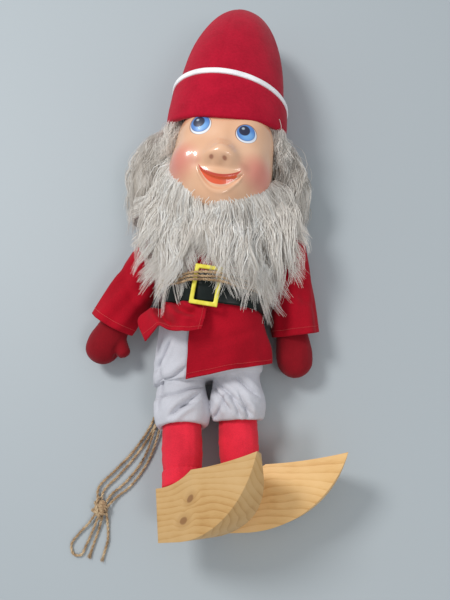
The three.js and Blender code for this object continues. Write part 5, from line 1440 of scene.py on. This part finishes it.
def beard_place(root, tip, t, layer, phase, sway):
    """A point of a lock: down and outward from its root, over the chest, to its tip."""
    middle = root.lerp(tip, 0.45)
    middle += Vector((0.2 * (tip.x - root.x), 4, 0))
    p = bowed(root, middle, tip, t)
    p.x += sway * eased(t, 0.08, 0.5) * (0.9 * sin(6 * t + phase) + 0.7 * sin(14 * t + 2 * phase))
    floor = chest(p.x, p.y) + 2.5
    hit = beard_skin.ray_cast(placed((p.x, p.y, 300)), Vector((0, 0, -1)))[0]
    full = floor + 16 if hit is None else max(hit.z * 1000, floor + 3)
    lying = mix(full - 1.5, floor, layer)
    lying = mix(lying, floor + 5 * (1 - layer), eased(t, 0.6, 0.95))
    p.z = max(mix(root.z - 2 - 2 * layer, lying, eased(t, 0.02, 0.34)), floor) + 0.8 * sin(13 * t + phase)
    return p


def hung_beard(piece):
    fitted(piece, None, "mohair", "beard")
    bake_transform(piece)


# Each group of locks is where it begins and ends along the face's line, its number of locks and of
# strands, how far it reaches, how much its tips draw together, its brightness and its curl
chance = random.Random(5)
for seed, (name, begin, finish, count, strands, near, far, shut, bright, curly) in enumerate((
    ("beard_right", 0.0, 0.46, 50, 37, 0.68, 1.06, 0.26, 0.58, 2.4),
    ("beard_left", 0.43, 1.0, 64, 29, 0.84, 1.04, 0.48, 0.54, 1.5),
    ("beard_middle", 0.03, 0.97, 66, 25, 0.4, 0.8, 0.52, 0.8, 1.5),
    ("beard_top", 0.06, 0.94, 76, 24, 0.22, 0.58, 0.62, 0.9, 1.5),
)):
    guides = []
    for i in range(count):
        share = mix(begin, finish, (i + chance.random()) / count)
        layer = chance.random() ** 1.3 * (0.35 if name == "beard_top" else 1)
        root = bent_line(roots, share + chance.uniform(-0.03, 0.03))
        hem_share = share + chance.uniform(-0.02, 0.02)
        tip = beard_tip(hem_share, mix(near, far, chance.random() ** 0.7), root)
        phase = chance.random() * CIRCLE
        sway = chance.uniform(2.2, 4.8)
        guides.append(guide_line(lambda t: beard_place(root, tip, t, layer, phase, sway)))
    hung_beard(locks(
        name, guides, strands, spread=0.0074, thick=0.00029, seed=40 + seed, tip_share=shut, bright=bright,
        curly=curly,
    ))


def beard_shade_base(u, v):
    root = bent_line(roots, u)
    p = beard_place(root, beard_tip(u, 0.62, root), v, 0.85, 0, 0)
    p.z -= 3 * sin(pi * min(v, 0.5))
    return p


# A sheet under the beard, darker than its locks: painted shade under and between the locks
piece = draped("beard_shade_base", 90, 60, beard_shade_base, (0, 130, 20), 0.0015, mohair)
set_shade(piece, [0.34] * len(piece.data.vertices))
hung_beard(piece)

for seed, (name, stations) in enumerate(HAIR.items()):
    side = -1 if name == "right" else 1
    first, last = stations[0][0], stations[-1][0]
    guides = []
    for _ in range(60):
        angle = radians(chance.uniform(-50, 165))
        start = mix(last + 2, last - 20, chance.random())
        end = mix(first - 16, first + 50, chance.random() ** 1.6)
        depth = mix(0.64, 0.93, chance.random() ** 0.5)
        phase = chance.random() * CIRCLE
        sway = chance.uniform(2, 4)

        def side_lock(t):
            along = mix(start, end, t)
            at = min(max(along, first), last)
            inner, outer, low, high = [station_value(stations, at, c) for c in (1, 2, 3, 4)]
            grow = depth * (0.8 + 0.2 * eased(t, 0, 0.4))
            x = (inner + outer) / 2 + (outer - inner) / 2 * grow * cos(angle + 0.25 * sin(4 * t + phase))
            z = (low + high) / 2 + (high - low) / 2 * grow * sin(angle)
            x += sway * eased(t, 0.1, 0.6) * (sin(9 * t + phase) + 0.55 * sin(20 * t + phase))
            return side * x, along, max(z, 1)

        guides.append(guide_line(side_lock))
    for i in range(14):
        angle = radians(mix(-8, 34, (i + chance.random()) / 14))
        start = brim_point(angle if side > 0 else pi - angle, -5) + Vector((0, 7, 0))
        end = Vector((side * chance.uniform(62, 76), mix(258, 222, chance.random()), chance.uniform(70, 96)))
        middle = Vector((start.x + side * 5, mix(start.y, end.y, 0.35), start.z + 3))
        phase = chance.random() * CIRCLE

        def temple_lock(t):
            point = bowed(start, middle, end, t)
            point.x += 2.5 * eased(t, 0.2, 0.7) * sin(9 * t + phase)
            return point

        guides.append(guide_line(temple_lock))
    piece = locks(
        "hair_locks_" + name, guides, strands=19, spread=0.0066, thick=0.00024, seed=50 + seed,
        tip_share=0.62, bright=0.38, curly=0.7,
    )
    fitted(piece, "head", "mohair", "hair_" + name)
    # A sheet under the locks in the ramp's darkest colour: painted shade under and between the locks
    drawn = merged("hair_" + name)
    piece = stuffed("hair_shade_underlayer_" + name, drawn, 0.002, 8, mohair, lambda place, normal: -6.5)
    fitted(piece, "head", "mohair", "hair_" + name)

guides = []
for i in range(56):
    x = mix(-50, 50, (i + chance.random()) / 56)
    phase = chance.random() * CIRCLE
    top, bottom = mix(44, 30, chance.random()), mix(-40, -58, chance.random())

    def back_lock(t):
        y = mix(top, bottom, t)
        here = x * mix(0.8, 1.05, t) + 2 * sin(8 * t + phase)
        z = -HEAD_BACK * max(head_rest(here, y), 0.02) ** (1 / HEAD_POWER) - 5
        point = head_place @ Vector((here, y, z))
        point.z = max(point.z, 1.2)
        return point

    guides.append(guide_line(back_lock))
piece = locks(
    "hair_locks_back", guides, strands=13, spread=0.005, thick=0.0003, seed=60, tip_share=0.4, bright=0.42,
)
fitted(piece, "head", "mohair", "hair_back")
# A sheet under the back locks in the ramp's darkest colour: painted shade under and between the locks
piece = stuffed("hair_shade_underlayer_back", merged("hair_back"), 0.002, 6, mohair)
fitted(piece, "head", "mohair", "hair_back")

low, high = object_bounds()
